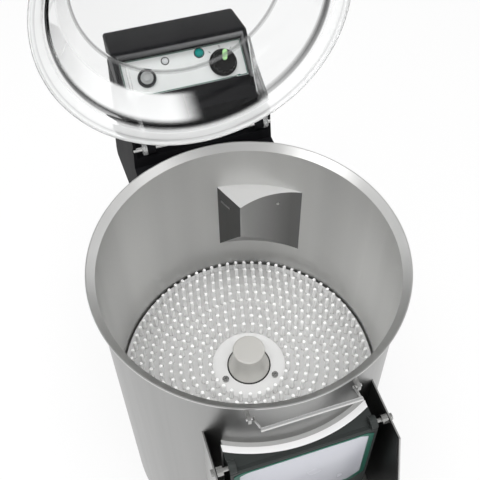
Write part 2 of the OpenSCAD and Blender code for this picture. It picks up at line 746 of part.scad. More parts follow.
stand_x = column_x - 10;
stand_y = motor_y - motor_r;
stand_l = column_back - 12 - stand_y;
module motor_bracket() color("silver") in_frame() difference() {
    union() {
        translate([-stand_x, stand_y, motor_base]) cube([2 * stand_x, stand_l, 4]);
        for (side = [-1, 1]) mirror([side < 0 ? 1 : 0, 0, 0]) {
            translate([stand_x - 3, stand_y, skirt_h]) cube([3, stand_l, motor_base + 4 - skirt_h]);
            translate([stand_x - 20, stand_y, skirt_h]) cube([20, stand_l, 3]);
        }
    }
    translate([0, motor_y, motor_base - 1]) cylinder(h = 6, r = 16);
    for (side = [-1, 1]) {
        translate([side * rear_foot_x, rear_foot_y, skirt_h - 1]) cylinder(h = 6, r = foot_stud_r);
    }
}

// Base

base_fit = 0.1;
module base_outline() {
    circle(r = tub_out_r);
    column_outline(column_wall + base_fit);
}

foot_stud_r = 4;
foot_ring_r = tub_r - 22.7;
foot_a = 38.16;
rear_foot_x = column_x - 22;
rear_foot_y = column_back - 24;
feet_at = concat(
    [for (side = [-1, 1]) foot_ring_r * [side * cos(foot_a), -sin(foot_a)]],
    [for (side = [-1, 1]) [side * rear_foot_x, rear_foot_y]]);
module base_plate() color("silver") in_frame() difference() {
    translate([0, 0, skirt_h - base_t]) linear_extrude(base_t) base_outline();
    for (x = [-1, 1]) for (y = [-1, 1]) {
        translate([x * anchor_pitch / 2, y * anchor_pitch / 2, skirt_h - 2 * base_t]) cylinder(h = 3 * base_t, r = anchor_r);
    }
    for (p = feet_at) translate([p[0], p[1], skirt_h - 2 * base_t]) cylinder(h = 3 * base_t, r = foot_stud_r);
}

module feet() color("black") in_frame() {
    for (p = feet_at) translate([p[0], p[1], 0]) {
        rotate_extrude() polygon([
            [0, 0], [foot_r - 1, 0], [foot_r, 1], [foot_r - 4, skirt_h - base_t],
            [foot_stud_r, skirt_h - base_t], [foot_stud_r, skirt_h + 6], [0, skirt_h + 6]]);
    }
}

// Rear housing

column_corner_r = 12;
notch_x = column_x - 6;
module column_outline(inset) {
    r = column_corner_r;
    x = column_x - inset;
    y = column_back - inset;
    polygon(concat(
        [[-x, tub_r / 2], [x, tub_r / 2]], arc([x - r, y - r], r, 0, 90), arc([-x + r, y - r], r, 90, 180)));
}

module column() color("darkslategray") in_frame() difference() {
    translate([0, 0, skirt_h - base_t]) linear_extrude(column_top - skirt_h + base_t) difference() {
        column_outline(0);
        column_outline(column_wall);
        circle(r = tub_out_r + fit);
    }
    translate([-cover_x, column_back - 20, cover_z0]) cube([2 * cover_x, 40, cover_z1 - cover_z0]);
    translate([-notch_x, column_back - 20, rim_h - 145]) cube([2 * notch_x, 40, 200]);
}

cover_x = 70;
cover_rise = 20;
cover_drop = 175;
cover_z0 = skirt_h + cover_rise;
cover_z1 = rim_h - cover_drop;
module column_cover() color("black") in_frame() difference() {
    translate([-cover_x - 6, column_back, cover_z0 - 6]) cube([2 * cover_x + 12, 2.5, cover_z1 - cover_z0 + 12]);
    for (row = [0 : 11]) for (side = [-1, 1]) {
        translate([side * 30 - 22, column_back - 5, cover_z0 + 110 + row * 12]) cube([44, 10, 4]);
    }
}

hood_z1 = rim_h + hood_rise;
hood_z0 = rim_h - hood_drop;
hood_front = rim_r + 1;
hood_wing_y = wall_y(hood_base_x, tub_out_r) - 10;
hood_wing_z = rim_h - 14;
hood_belt_z = rim_h + 28;
hood_bevel = [11, 6];
hood_corner_r = 12;
function hood_profile(w) = concat(
    [[hood_wing_y, hood_wing_z - w], [hood_front + w, hood_wing_z - w],
        [hood_front + w, hood_z1 - hood_bevel[1] - w], [hood_front + hood_bevel[0] + w, hood_z1 - w]],
    arc([hood_back - w - hood_corner_r, hood_z1 - w - hood_corner_r], hood_corner_r, 90, 0),
    arc([hood_back - w - hood_corner_r, hood_z0 + w + hood_corner_r], hood_corner_r, 0, -73),
    [[hood_wing_y, rim_h - hood_lip_drop + w]]);

module hood_mass(w) {
    intersection() {
        plate_x(0, 2 * hood_base_x + 10) polygon(hood_profile(w));
        translate([0, hood_back + 1, 0]) rotate([90, 0, 0]) linear_extrude(hood_back) polygon([
            [-hood_base_x + w, hood_z0], [-hood_base_x + w, hood_z0 + 1], [-hood_top_x + w, hood_belt_z],
            [-hood_top_x + w, hood_z1], [hood_top_x - w, hood_z1], [hood_top_x - w, hood_belt_z],
            [hood_base_x - w, hood_z0 + 1], [hood_base_x - w, hood_z0]]);
    }
}

// The room in which the lid's arms turn, wider by w
recess_x = hood_top_x - 3.9;
recess_back = hinge_y + 29;
recess_z = hinge_z - 15.5;
module hinge_recess(w) {
    translate([-recess_x - w, hood_wing_y, recess_z - w]) {
        cube([2 * (recess_x + w), recess_back + w - hood_wing_y, hood_rise + 40]);
    }
}

window_y = [panel_y - 7, panel_y + 27];
window_x = panel_w / 2 - 13;
module hood() color([0.12, 0.12, 0.12]) in_frame() difference() {
    hood_mass(0);
    difference() {
        hood_mass(hood_wall);
        hinge_recess(hood_wall);
    }
    hinge_recess(0);
    translate([0, 0, tub_r / 2]) cylinder(h = rim_h - tub_r / 2, r = tub_out_r);
    translate([0, 0, column_top - 200]) linear_extrude(230) column_outline(0);
    rod_x(-150, 150, hinge_y, hinge_z, hinge_pin_r);
    translate([-window_x, window_y[0], hood_z1 - 2 * hood_wall]) {
        cube([2 * window_x, window_y[1] - window_y[0], 3 * hood_wall]);
    }
    translate([inlet_x, hood_back - 10, inlet_z]) rotate([-90, 0, 0]) cylinder(h = 20, r = inlet_r - 1);
    translate([gland_x, hood_back - 10, gland_z]) rotate([-90, 0, 0]) cylinder(h = 20, r = 8);
}

module hinge_pin() color("silver") in_frame() {
    rod_x(-hood_top_x, hood_top_x, hinge_y, hinge_z, hinge_pin_r);
}

collar_l = 12;
module hinge_collars() color("black") in_frame() {
    for (x = [arm_left_x + arm_t / 2 + fit, arm_right_x - arm_t / 2 - fit - collar_l]) difference() {
        rod_x(x, x + collar_l, hinge_y, hinge_z, 8.5);
        rod_x(x - 1, x + collar_l + 1, hinge_y, hinge_z, hinge_pin_r);
    }
}

// Lid, drawn closed and then turned open about its hinge

module opened() {
    translate([0, hinge_y, hinge_z]) rotate([-lid_open, 0, 0]) translate([0, -hinge_y, -hinge_z]) children();
}

lid_lip = 5.6;
function lid_outer() = [
    [lid_r, rim_h - lid_lip], [lid_r, rim_h - 0.6], [lid_r - 1, rim_h + 0.4], [lid_r - 8, rim_h + 1.5],
    [lid_wall_r + 7, rim_h + 6], [lid_wall_r + 2, rim_h + 11], [lid_wall_r, rim_h + 18],
    [lid_shoulder_r + 0.5, rim_h + lid_shoulder_h - 2], [lid_shoulder_r - 2, rim_h + lid_shoulder_h + 2],
    [lid_top_r + 1, rim_h + lid_top_h - 2], [lid_top_r - 3, rim_h + lid_top_h + 1], [0, rim_h + lid_top_h + 4]];
function lid_inner() = [
    [0, rim_h + lid_top_h + 4 - lid_t], [lid_top_r - 4, rim_h + lid_top_h + 1 - lid_t],
    [lid_top_r - 1.5, rim_h + lid_top_h - 4], [lid_shoulder_r - 4.5, rim_h + lid_shoulder_h],
    [lid_shoulder_r - 2.5, rim_h + lid_shoulder_h - 3], [lid_wall_r - lid_t, rim_h + 17],
    [lid_wall_r - 1, rim_h + 9], [lid_wall_r + 5, rim_h + 3], [lid_r - 9, rim_h + 1.5 - lid_t],
    [lid_r - lid_t, rim_h - 2], [lid_r - lid_t, rim_h - lid_lip]];

// An arm starts on the flat top's edge and on the wall, and runs back to its eye
arm_top_y = lid_top_r - 28;
arm_wall_y = lid_wall_r - 31;
module lid_arm(x) {
    difference() {
        union() {
            plate_x(x, arm_t) polygon([
                [arm_wall_y, rim_h + 12], [hinge_y - 12, hinge_z - 8], [hinge_y, hinge_z - hinge_eye_r],
                [hinge_y, hinge_z + hinge_eye_r], [hinge_y - 14, hinge_z + 14.5],
                [arm_wall_y + 2, rim_h + lid_shoulder_h + 11], [arm_top_y, rim_h + lid_top_h - 3],
                [arm_top_y, rim_h + lid_shoulder_h - 1]]);
            rod_x(x - arm_t / 2, x + arm_t / 2, hinge_y, hinge_z, hinge_eye_r);
        }
        rotate_extrude() polygon(concat([[0, rim_h - 50]], lid_inner(), [[lid_r - lid_t, rim_h - 50]]));
        rod_x(x - arm_t, x + arm_t, hinge_y, hinge_z, hinge_pin_r + slip);
    }
}

module lid() color("azure") in_frame() opened() {
    rotate_extrude() polygon(concat(lid_outer(), lid_inner()));
    lid_arm(arm_left_x);
    lid_arm(arm_right_x);
}

// Where the bail's rod lies on the closed lid's catch
catch_rod = bail_pivot + [
    -bail_out * cos(bail_swing) + bail_up * sin(bail_swing),
    bail_out * sin(bail_swing) + bail_up * cos(bail_swing)];
module lid_catch() color("azure") in_frame() opened() difference() {
    plate_x(0, 44) polygon([
        [-lid_wall_r - 9, rim_h + 3], [-lid_r + 3, rim_h + 1.5], [-lid_r - 2, rim_h + 1.5],
        [catch_rod[0] - 6, catch_rod[1] - 1], [catch_rod[0] - 4, catch_rod[1] - 0.5],
        [catch_rod[0] + 4, catch_rod[1] - 0.5], [-lid_wall_r - 7, rim_h + 4.5]]);
    rotate_extrude() polygon(concat(lid_outer(), lid_inner()));
    rod_x(-40, 40, catch_rod[0], catch_rod[1], bail_rod_r + fit);
}

// Control box

module on_panel(x, s) {
    translate([x, panel_y, panel_z]) rotate([panel_tilt, 0, 0]) translate([0, s, 0]) children();
}

module box_side() {
    polygon(concat(
        [[box_front, box_z], [box_back, box_z]],
        arc([box_back - 10, box_z + 41], 10, 0, 80),
        arc([box_front + 61, box_z + 60], 5, 80, 90 + panel_tilt),
        arc([box_front + 6, box_z + 16], 6, 90 + panel_tilt, 180)));
}

module control_box() color([0.12, 0.12, 0.12]) in_frame() difference() {
    plate_x(0, 2 * box_x) box_side();
    on_panel(0, 0) translate([-panel_w / 2 - 1, -panel_h, -panel_t]) cube([panel_w + 2, 1.5 * panel_h + 1, 40]);
    on_panel(0, 0) translate([-panel_w / 2 + 8, -panel_h / 2 + 8, -36]) cube([panel_w - 16, panel_h - 11, 40]);
}

timer_at = [59, -3];
button_at = [-58, -3];
led_at = [-25.5, 17.5];
pilot_at = [27, 19];

module control_panel() color("honeydew") in_frame() on_panel(0, 0) difference() {
    translate([-panel_w / 2, -panel_h / 2, -panel_t]) cube([panel_w, panel_h, panel_t]);
    translate([timer_at[0], timer_at[1], -3]) cylinder(h = 6, r = 5);
    translate([button_at[0], button_at[1], -3]) cylinder(h = 6, r = 11);
    translate([led_at[0], led_at[1], -3]) cylinder(h = 6, r = 3);
    translate([pilot_at[0], pilot_at[1], -3]) cylinder(h = 6, r = 5);
}

module timer() color("dimgray") in_frame() on_panel(timer_at[0], timer_at[1]) {
    translate([-17, -15, -panel_t - timer_l]) cube([34, 30, timer_l]);
    translate([0, 0, -panel_t]) cylinder(h = panel_t, r = 5);
    cylinder(h = 10, r = 3);
}

module timer_knob() color([0.1, 0.1, 0.1]) in_frame() on_panel(timer_at[0], timer_at[1]) difference() {
    union() {
        translate([0, 0, 0.8]) cylinder(h = 2.7, r = knob_r);
        translate([0, 0, 3]) linear_extrude(knob_h - 3) difference() {
            circle(r = knob_r - 3);
            for (a = [0 : 24 : 336]) rotate(a) translate([knob_r, 0]) circle(r = 4);
        }
    }
    translate([0, 0, -1]) cylinder(h = 12, r = 3 + slip);
}

module knob_pointer() color("palegreen") in_frame() on_panel(timer_at[0], timer_at[1]) {
    rotate(-14) translate([-2.4, 1, knob_h]) cube([4.8, knob_r - 9, 1.6]);
}

module button_ring() color("silver") in_frame() on_panel(button_at[0], button_at[1]) difference() {
    union() {
        cylinder(h = 3, r = button_ring_r);
        translate([0, 0, 3]) cylinder(h = 2, r1 = button_ring_r, r2 = button_ring_r - 2);
        translate([0, 0, -26]) cylinder(h = 26, r = 10.9);
    }
    translate([0, 0, -10]) cylinder(h = 20, r = button_r + 0.2);
}

module button_cap() color("lightgray") in_frame() on_panel(button_at[0], button_at[1]) {
    translate([0, 0, -10 + button_travel + 0.3]) cylinder(h = 10 - button_travel - 0.3 + 6, r = button_r);
}

module pilot_lamp() color("teal") in_frame() on_panel(pilot_at[0], pilot_at[1]) {
    translate([0, 0, -22]) cylinder(h = 22, r = 4.9);
    cylinder(h = 2, r = pilot_r);
    translate([0, 0, 2]) cylinder(h = 3, r1 = pilot_r - 0.8, r2 = pilot_r - 2.5);
}

module indicator_lamp() color("whitesmoke") in_frame() on_panel(led_at[0], led_at[1]) {
    translate([0, 0, -14]) cylinder(h = 14, r = 2.9);
    cylinder(h = 1.5, r = led_r);
    translate([0, 0, 1.5]) cylinder(h = 2, r1 = led_r - 1, r2 = led_r - 2.4);
}

// Water and drain

drain_x = -(tub_r - 60.7);
drain_y = 60;
drain_z = 150;
drain_bend = 36;
sleeve_r = drain_r + 3;
sleeve_y = wall_y(-drain_x - sleeve_r, tub_out_r) + 3.65;
spigot_l = 40;
module drain_pipe() color("gray") in_frame() difference() {
    union() {
        translate([drain_x, drain_y, drain_z + drain_bend]) cylinder(h = floor_h - floor_t - drain_z - drain_bend, r = drain_r);
        translate([drain_x, drain_y + drain_bend, drain_z + drain_bend]) rotate([0, 90, 0]) rotate([0, 0, -90])
            rotate_extrude(angle = 90) translate([drain_bend, 0]) circle(r = drain_r);
        translate([drain_x, drain_y + drain_bend, drain_z]) rotate([-90, 0, 0]) {
            cylinder(h = sleeve_y + spigot_l - drain_y - drain_bend, r = drain_r);
            translate([0, 0, 5]) cylinder(h = sleeve_y - drain_y - drain_bend - 5, r = sleeve_r);
        }
    }
    translate([drain_x, drain_y, drain_z + drain_bend]) cylinder(h = floor_h, r = drain_r - drain_wall);
    translate([drain_x, drain_y + drain_bend, drain_z + drain_bend]) rotate([0, 90, 0]) rotate([0, 0, -90])
        rotate_extrude(angle = 90) translate([drain_bend, 0]) circle(r = drain_r - drain_wall);
    translate([drain_x, drain_y + drain_bend, drain_z]) rotate([-90, 0, 0]) cylinder(h = 200, r = drain_r - drain_wall);
}

spray_x = 60;
spray_z = rim_h - 110;
spray_r = 7;
inlet_x = 60;
inlet_z = spray_z;
module water_valve() color("goldenrod") in_frame() difference() {
    union() {
        translate([inlet_x - 16, hood_back - 50, inlet_z - 16]) cube([32, 50 - hood_wall, 32]);
        translate([inlet_x, hood_back - 30, inlet_z + 16]) cylinder(h = 36, r = 14);
        translate([inlet_x, hood_back - hood_wall - 1, inlet_z]) rotate([-90, 0, 0]) {
            cylinder(h = hood_wall + 1, r = inlet_r - 1);
            translate([0, 0, hood_wall + 1]) cylinder(h = inlet_l, r = inlet_r);
        }
    }
    translate([inlet_x, hood_back - 40, inlet_z]) rotate([-90, 0, 0]) cylinder(h = 100, r = inlet_r - 4);
}

module spray_tube() color("whitesmoke") in_frame() difference() {
    translate([spray_x, tub_r - 14, spray_z]) rotate([-90, 0, 0]) cylinder(h = hood_back - 50 - tub_r + 14, r = spray_r);
    translate([spray_x, tub_r - 20, spray_z]) rotate([-90, 0, 0]) cylinder(h = hood_back, r = spray_r - 2);
}

gland_x = -55;
gland_z = rim_h - 110;
module cable_gland() color("black") in_frame() translate([gland_x, hood_back, gland_z]) rotate([-90, 0, 0]) difference() {
    union() {
        translate([0, 0, -hood_wall - 8]) cylinder(h = hood_wall + 8, r = 7.9);
        translate([0, 0, -hood_wall - 6]) cylinder(h = 6, r = 11, $fn = 6);
        cylinder(h = 5, r = 12, $fn = 6);
        translate([0, 0, 5]) cylinder(h = 8, r1 = 9.5, r2 = 7.5);
    }
    translate([0, 0, -30]) cylinder(h = 60, r = gland_bore_r);
}

tub();
tub_floor();
deflector();
deflector_rivet();
door_seal();
cheek_left();
cheek_right();
cheek_liner_left();
cheek_liner_right();
chute_floor();
door_plate();
door_cover();
door_label();
door_pivots();
bail();
bail_brackets();
brush_disc();
bristles();
disc_carrier();
hub();
disc_screws();
drive_shaft();
shaft_nut();
bearing_housing();
bearings();
shaft_seal();
large_pulley();
drive_belt();
motor_pulley();
motor_shaft();
motor();
motor_bracket();
base_plate();
feet();
column();
column_cover();
hood();
hinge_pin();
hinge_collars();
lid();
lid_catch();
control_box();
control_panel();
timer();
timer_knob();
knob_pointer();
button_ring();
button_cap();
pilot_lamp();
indicator_lamp();
drain_pipe();
water_valve();
spray_tube();
cable_gland();
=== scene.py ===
"""Looks of the mussel cleaning machine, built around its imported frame.

The shape functions work in millimetres about the tub's axis, with z up from the floor and the
chute towards -y. place() turns their points into the frame's metres.
"""
import math

import bmesh
import bpy
import numpy as np
from mathutils import Matrix, Vector


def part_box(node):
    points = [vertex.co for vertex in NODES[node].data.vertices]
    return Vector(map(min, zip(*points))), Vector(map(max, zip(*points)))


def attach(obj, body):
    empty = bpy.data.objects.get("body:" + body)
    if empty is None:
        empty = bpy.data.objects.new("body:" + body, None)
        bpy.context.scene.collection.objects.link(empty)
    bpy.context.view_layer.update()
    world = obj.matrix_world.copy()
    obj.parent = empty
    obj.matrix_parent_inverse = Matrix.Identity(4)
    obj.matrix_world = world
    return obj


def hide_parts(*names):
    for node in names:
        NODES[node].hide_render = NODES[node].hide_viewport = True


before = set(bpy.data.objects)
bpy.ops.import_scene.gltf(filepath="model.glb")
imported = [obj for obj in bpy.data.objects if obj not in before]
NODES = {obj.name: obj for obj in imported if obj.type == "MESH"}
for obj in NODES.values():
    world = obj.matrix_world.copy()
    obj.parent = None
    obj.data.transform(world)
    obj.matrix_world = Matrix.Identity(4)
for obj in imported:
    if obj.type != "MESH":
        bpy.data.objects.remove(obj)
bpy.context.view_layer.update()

MM = 0.001
hub_low, hub_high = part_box("hub")
AXIS_Y = (hub_low.y + hub_high.y) / 2


def place(points):
    """Millimetres about the tub's axis to metres in the frame."""
    return np.asarray(points, float) * MM + (0.0, AXIS_Y, 0.0)


def box_of(node):
    """A CAD node's lowest and highest corner, in millimetres about the tub's axis."""
    low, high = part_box(node)
    shift = np.array((0.0, AXIS_Y, 0.0))
    return (np.array(low) - shift) / MM, (np.array(high) - shift) / MM


RIM_H = box_of("tub")[1][2]
DISC_TOP = box_of("brush_disc")[1][2]
DEFLECTOR_TOP = box_of("deflector")[1][2]

# Meshes

# Points nearer than this become one, and edges shorter than this go, in metres
WELD_DISTANCE, SHORTEST_EDGE = 1e-6, 1e-7


def grid_faces(rows, cols, wrap_rows=False):
    """Quads that join each point of a grid of rows and columns to its neighbours. Each row closes
    on itself, and the last row joins the first where wrap_rows is set."""
    i, j = np.meshgrid(np.arange(rows if wrap_rows else rows - 1), np.arange(cols), indexing="ij")
    i2, j2 = (i + 1) % rows, (j + 1) % cols
    quads = np.stack([i * cols + j, i * cols + j2, i2 * cols + j2, i2 * cols + j], -1)
    return quads.reshape(-1, 4)


def piece(name, points, faces, material, body, slot, sharp=35.0, replaces=(), tints=None):
    """A finished piece from points in millimetres and lists of faces: doubles merged, faces turned
    outwards, smooth but for edges sharper than the angle given, riding on its body. tints are named
    numbers per point for its material."""
    mesh = bpy.data.meshes.new(name)
    faces = [faces] if isinstance(faces, np.ndarray) else faces
    listed = [face for group in faces for face in np.asarray(group).tolist()]
    mesh.from_pydata(place(points).tolist(), [], listed)
    for key, values in (tints or {}).items():
        attribute = mesh.attributes.new(key, "FLOAT", "POINT")
        attribute.data.foreach_set("value", np.asarray(values, np.float32))
    made = bmesh.new()
    made.from_mesh(mesh)
    bmesh.ops.remove_doubles(made, verts=made.verts, dist=WELD_DISTANCE)
    bmesh.ops.dissolve_degenerate(made, edges=made.edges, dist=SHORTEST_EDGE)
    bmesh.ops.recalc_face_normals(made, faces=made.faces)
    made.to_mesh(mesh)
    made.free()
    mesh.polygons.foreach_set("use_smooth", np.ones(len(mesh.polygons), bool))
    mesh.set_sharp_from_angle(angle=math.radians(sharp))
    mesh.materials.append(material)
    made_object = bpy.data.objects.new(name, mesh)
    bpy.context.scene.collection.objects.link(made_object)
    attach(made_object, body)
    if replaces:
        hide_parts(*replaces)
    return made_object


def soften(outline, reach, steps=5):
    """Rounds every corner of a closed outline: corner C gives way to the curve
    (1-t)(1-t)A + 2t(1-t)C + ttB between points A and B that lie reach before and after it, or
    just under half a side where that is nearer."""
    corner = np.asarray(outline, float)
    most_of_side = 0.48

    def towards(other):
        away = other - corner
        length = np.linalg.norm(away, axis=1)
        return corner + away * (np.minimum(reach, most_of_side * length) / length)[:, None]

    before, after = towards(np.roll(corner, 1, 0)), towards(np.roll(corner, -1, 0))
    t = np.linspace(0, 1, steps)[None, :, None]
    curve = (1 - t) ** 2 * before[:, None] + 2 * t * (1 - t) * corner[:, None] + t**2 * after[:, None]
    return curve.reshape(-1, corner.shape[1])


def revolved(profile, segments=160, closed=True):
    """Points and faces of a profile of (radius, height) turned about the z axis:
    x = radius cos a, y = radius sin a, z = height."""
    profile = np.asarray(profile, float)
    a = np.linspace(0, 2 * np.pi, segments, endpoint=False)
    r, h = profile[:, 0][:, None], profile[:, 1][:, None]
    points = np.stack([r * np.cos(a), r * np.sin(a), h + 0 * a], -1).reshape(-1, 3)
    return points, grid_faces(len(profile), segments, wrap_rows=closed)


def inset(outline, depth):
    """Moves each point of a closed anticlockwise outline inwards, square to the outline there."""
    along = np.roll(outline, -1, 0) - np.roll(outline, 1, 0)
    along /= np.maximum(np.linalg.norm(along, axis=1), 1e-9)[:, None]
    return outline + depth * np.stack([-along[:, 1], along[:, 0]], -1)


def slab(outline, low, high, edge, steps=4, low_edge=None):
    """Points and faces of a solid over a closed anticlockwise outline, between two heights. Its
    edges are rounded: a ring at angle w lies edge(1 - cos w) in and edge(1 - sin w) off the face."""
    low_edge = edge if low_edge is None else low_edge
    w = np.linspace(0, np.pi / 2, steps)
    rings, heights = [], []
    for e, z, sign in ((low_edge, low, 1), (edge, high, -1)):
        order = w if sign < 0 else w[::-1]
        for angle in order:
            rings.append(inset(outline, e * (1 - math.cos(angle))))
            heights.append(z + sign * e * (1 - math.sin(angle)))
    n = len(outline)
    points = np.concatenate([np.column_stack([ring, np.full(n, h)]) for ring, h in zip(rings, heights)])
    last = (len(rings) - 1) * n
    return points, [grid_faces(len(rings), n), [list(range(n))[::-1]], [list(range(last, last + n))]]


def turned(points, angle, axis, about):
    """Points turned by an angle in degrees about an axis through a point."""
    turn = np.array(Matrix.Rotation(math.radians(angle), 3, axis))
    return (np.asarray(points, float) - about) @ turn.T + about


def joined(*parts):
    """Points and faces of several shapes as one."""
    points, faces, start = [], [], 0
    for some_points, groups in parts:
        groups = [groups] if isinstance(groups, np.ndarray) else groups
        for group in groups:
            faces.append([[index + start for index in face] for face in np.asarray(group).tolist()])
        points.append(some_points)
        start += len(some_points)
    return np.concatenate(points), faces


def bend(centre, radius, first, last, count=7):
    """Points on an arc between two angles in degrees."""
    a = np.radians(np.linspace(first, last, count))
    return np.column_stack([centre[0] + radius * np.cos(a), centre[1] + radius * np.sin(a)])


def smooth_step(value, low, high):
    """0 below low, 1 above high, and 3tt - 2ttt between."""
    t = np.clip((np.asarray(value, float) - low) / (high - low), 0, 1)
    return t * t * (3 - 2 * t)


def band(value, rise, fall):
    """1 between two soft ends: it comes up over rise and goes down over fall."""
    return smooth_step(value, *rise) * (1 - smooth_step(value, *fall))


# Materials

# Sizes of noise, in waves per metre: the fine grain of sheet, the slow tone of plastic and a
# pebbled skin
SHEET_GRAIN, PLASTIC_TONE, PEBBLES = 90, 14, 900
# How far the grain moves the roughness, and the grain's depth in metres
GRAIN_ROUGHNESS, GRAIN_DEPTH = 0.08, 0.00003
# Stretches of a grain: drawn out along z, and alike all ways
VERTICAL, EVEN = (1, 1, 0.03), (1, 1, 1)
# A colour mix's sockets by number
MIX_AMOUNT, MIX_FIRST, MIX_SECOND, MIX_RESULT = 0, 6, 7, 2


def node(tree, kind, inputs=None, **settings):
    """A shader node with its settings and its inputs, an input being a value or another's socket."""
    made = tree.nodes.new(kind)
    for key, value in settings.items():
        setattr(made, key, value)
    for key, value in (inputs or {}).items():
        if isinstance(value, bpy.types.NodeSocket):
            tree.links.new(value, made.inputs[key])
        else:
            made.inputs[key].default_value = value
    return made


def finish_of(name, colour, rough, metal=0.0, **sockets):
    """A material with its colour, roughness and other constants on the shader's own sockets, and
    its node tree and its shader."""
    made = bpy.data.materials.new(name)
    made.use_nodes = True
    tree = made.node_tree
    shader = tree.nodes["Principled BSDF"]
    shader.inputs["Base Color"].default_value = (*colour, 1)
    shader.inputs["Roughness"].default_value = rough
    shader.inputs["Metallic"].default_value = metal
    for key, value in sockets.items():
        shader.inputs[key.replace("_", " ").title().replace("Ior", "IOR")].default_value = value
    return made, tree, shader


def grain(tree, scale, stretch=EVEN, detail=3.0, rough=0.6):
    """Noise on Object coordinates, stretched along one axis to make a grain."""
    where = node(tree, "ShaderNodeTexCoord").outputs["Object"]
    where = node(tree, "ShaderNodeMapping", {"Vector": where, "Scale": stretch}).outputs["Vector"]
    made = node(
        tree, "ShaderNodeTexNoise",
        {"Vector": where, "Scale": scale, "Detail": detail, "Roughness": rough})
    return made.outputs["Fac"]


def mapped(tree, value, low, high, first=0.0, last=1.0):
    """A value from first..last brought to low..high."""
    made = node(
        tree, "ShaderNodeMapRange",
        {"Value": value, "From Min": first, "From Max": last, "To Min": low, "To Max": high})
    return made.outputs["Result"]


def mixed(tree, amount, a, b):
    """A colour between a and b by an amount."""
    made = node(tree, "ShaderNodeMix", data_type="RGBA")
    for key, value in ((MIX_AMOUNT, amount), (MIX_FIRST, a), (MIX_SECOND, b)):
        if isinstance(value, bpy.types.NodeSocket):
            tree.links.new(value, made.inputs[key])
        else:
            made.inputs[key].default_value = value if key == MIX_AMOUNT else (*value, 1)
    return made.outputs[MIX_RESULT]


def bumped(tree, shader, height, strength, distance):
    """A bump of the given strength and depth in metres on the shader's normal."""
    made = node(tree, "ShaderNodeBump", {"Height": height, "Strength": strength, "Distance": distance})
    tree.links.new(made.outputs["Normal"], shader.inputs["Normal"])


def steel(name, colour, rough, stretch=EVEN, scale=1.0):
    """Metal with a fine grain, and with slow changes of tone."""
    made, tree, shader = finish_of(name, colour, rough, 1.0)
    fine = grain(tree, SHEET_GRAIN * scale, stretch, 4, 0.7)
    slow = grain(tree, 5 * scale, stretch, 2)
    grained = mapped(tree, fine, rough - GRAIN_ROUGHNESS, rough + GRAIN_ROUGHNESS)
    tree.links.new(grained, shader.inputs["Roughness"])
    dark, light = tuple(0.9 * c for c in colour), tuple(min(1, 1.08 * c) for c in colour)
    tone = mixed(tree, mapped(tree, slow, 0, 1, 0.3, 0.7), dark, light)
    tree.links.new(tone, shader.inputs["Base Color"])
    bumped(tree, shader, fine, 0.25, GRAIN_DEPTH)
    return made


def plastic(name, colour, rough, pebble=0.0, pebbles=PEBBLES, **sockets):
    """Moulded plastic, paint or rubber: slight changes of roughness and, where a depth in metres is
    given for it, a pebbled skin."""
    made, tree, shader = finish_of(name, colour, rough, **sockets)
    slow = grain(tree, PLASTIC_TONE)
    tree.links.new(mapped(tree, slow, rough - 0.05, rough + 0.06), shader.inputs["Roughness"])
    if pebble:
        bumped(tree, shader, grain(tree, pebbles, detail=2), 0.3, pebble)
    return made


def tub_sheet():
    """The tub's sheet, with a vertical grain: more matt inside than outside, and with hardly any relief on
    the rim's hem. Its colour holds painted light and shade: the inside and the rim's hem are painted
    lighter, and the outside darker. Inside is where the distance from the tub's axis is below the wall's
    middle."""
    # Painted light and shade: the inside and the rim's hem are painted lighter and the outside darker,
    # though all are the one steel
    inner, outer, hem = (0.74, 0.74, 0.73), (0.36, 0.36, 0.355), (0.72, 0.72, 0.71)
    inner_rough, outer_rough, hem_rough = 0.46, 0.34, 0.36
    wall_middle, wall_blend, hem_low, hem_high = 201.45, 0.15, RIM_H - 10.5, RIM_H - 9
    made, tree, shader = finish_of("satin_steel_tub", (0.5, 0.5, 0.49), outer_rough, 1.0)
    where = node(tree, "ShaderNodeTexCoord").outputs["Object"]
    flat = node(tree, "ShaderNodeMapping", {
        "Vector": where, "Location": (0, -AXIS_Y, 0), "Scale": (1, 1, 0)}).outputs["Vector"]
    radius = node(tree, "ShaderNodeVectorMath", {0: flat}, operation="LENGTH").outputs["Value"]
    height = node(tree, "ShaderNodeSeparateXYZ", {"Vector": where}).outputs["Z"]
    outside = mapped(
        tree, radius, 0, 1, (wall_middle - wall_blend) * MM, (wall_middle + wall_blend) * MM)
    on_hem = mapped(tree, height, 0, 1, hem_low * MM, hem_high * MM)
    fine = grain(tree, SHEET_GRAIN, VERTICAL, 4, 0.7)
    slow = mapped(tree, grain(tree, 7, VERTICAL, 2), 0.84, 1.1, 0.3, 0.7)
    colour = mixed(tree, on_hem, mixed(tree, outside, inner, outer), hem)
    toned = node(tree, "ShaderNodeVectorMath", {0: colour}, operation="SCALE")
    tree.links.new(slow, toned.inputs["Scale"])
    tree.links.new(toned.outputs["Vector"], shader.inputs["Base Color"])
    base = node(tree, "ShaderNodeMix", {0: outside, 2: inner_rough, 3: outer_rough}).outputs[0]
    base = node(tree, "ShaderNodeMix", {0: on_hem, 2: base, 3: hem_rough}).outputs[0]
    relief = node(
        tree, "ShaderNodeMath", {0: fine, 1: mapped(tree, on_hem, 1, 0.1)}, operation="MULTIPLY")
    rough = node(
        tree, "ShaderNodeMath", {0: base, 1: mapped(tree, relief.outputs[0], -0.06, 0.06)},
        operation="ADD")
    tree.links.new(rough.outputs[0], shader.inputs["Roughness"])
    bumped(tree, shader, relief.outputs[0], 0.25, GRAIN_DEPTH)
    return made


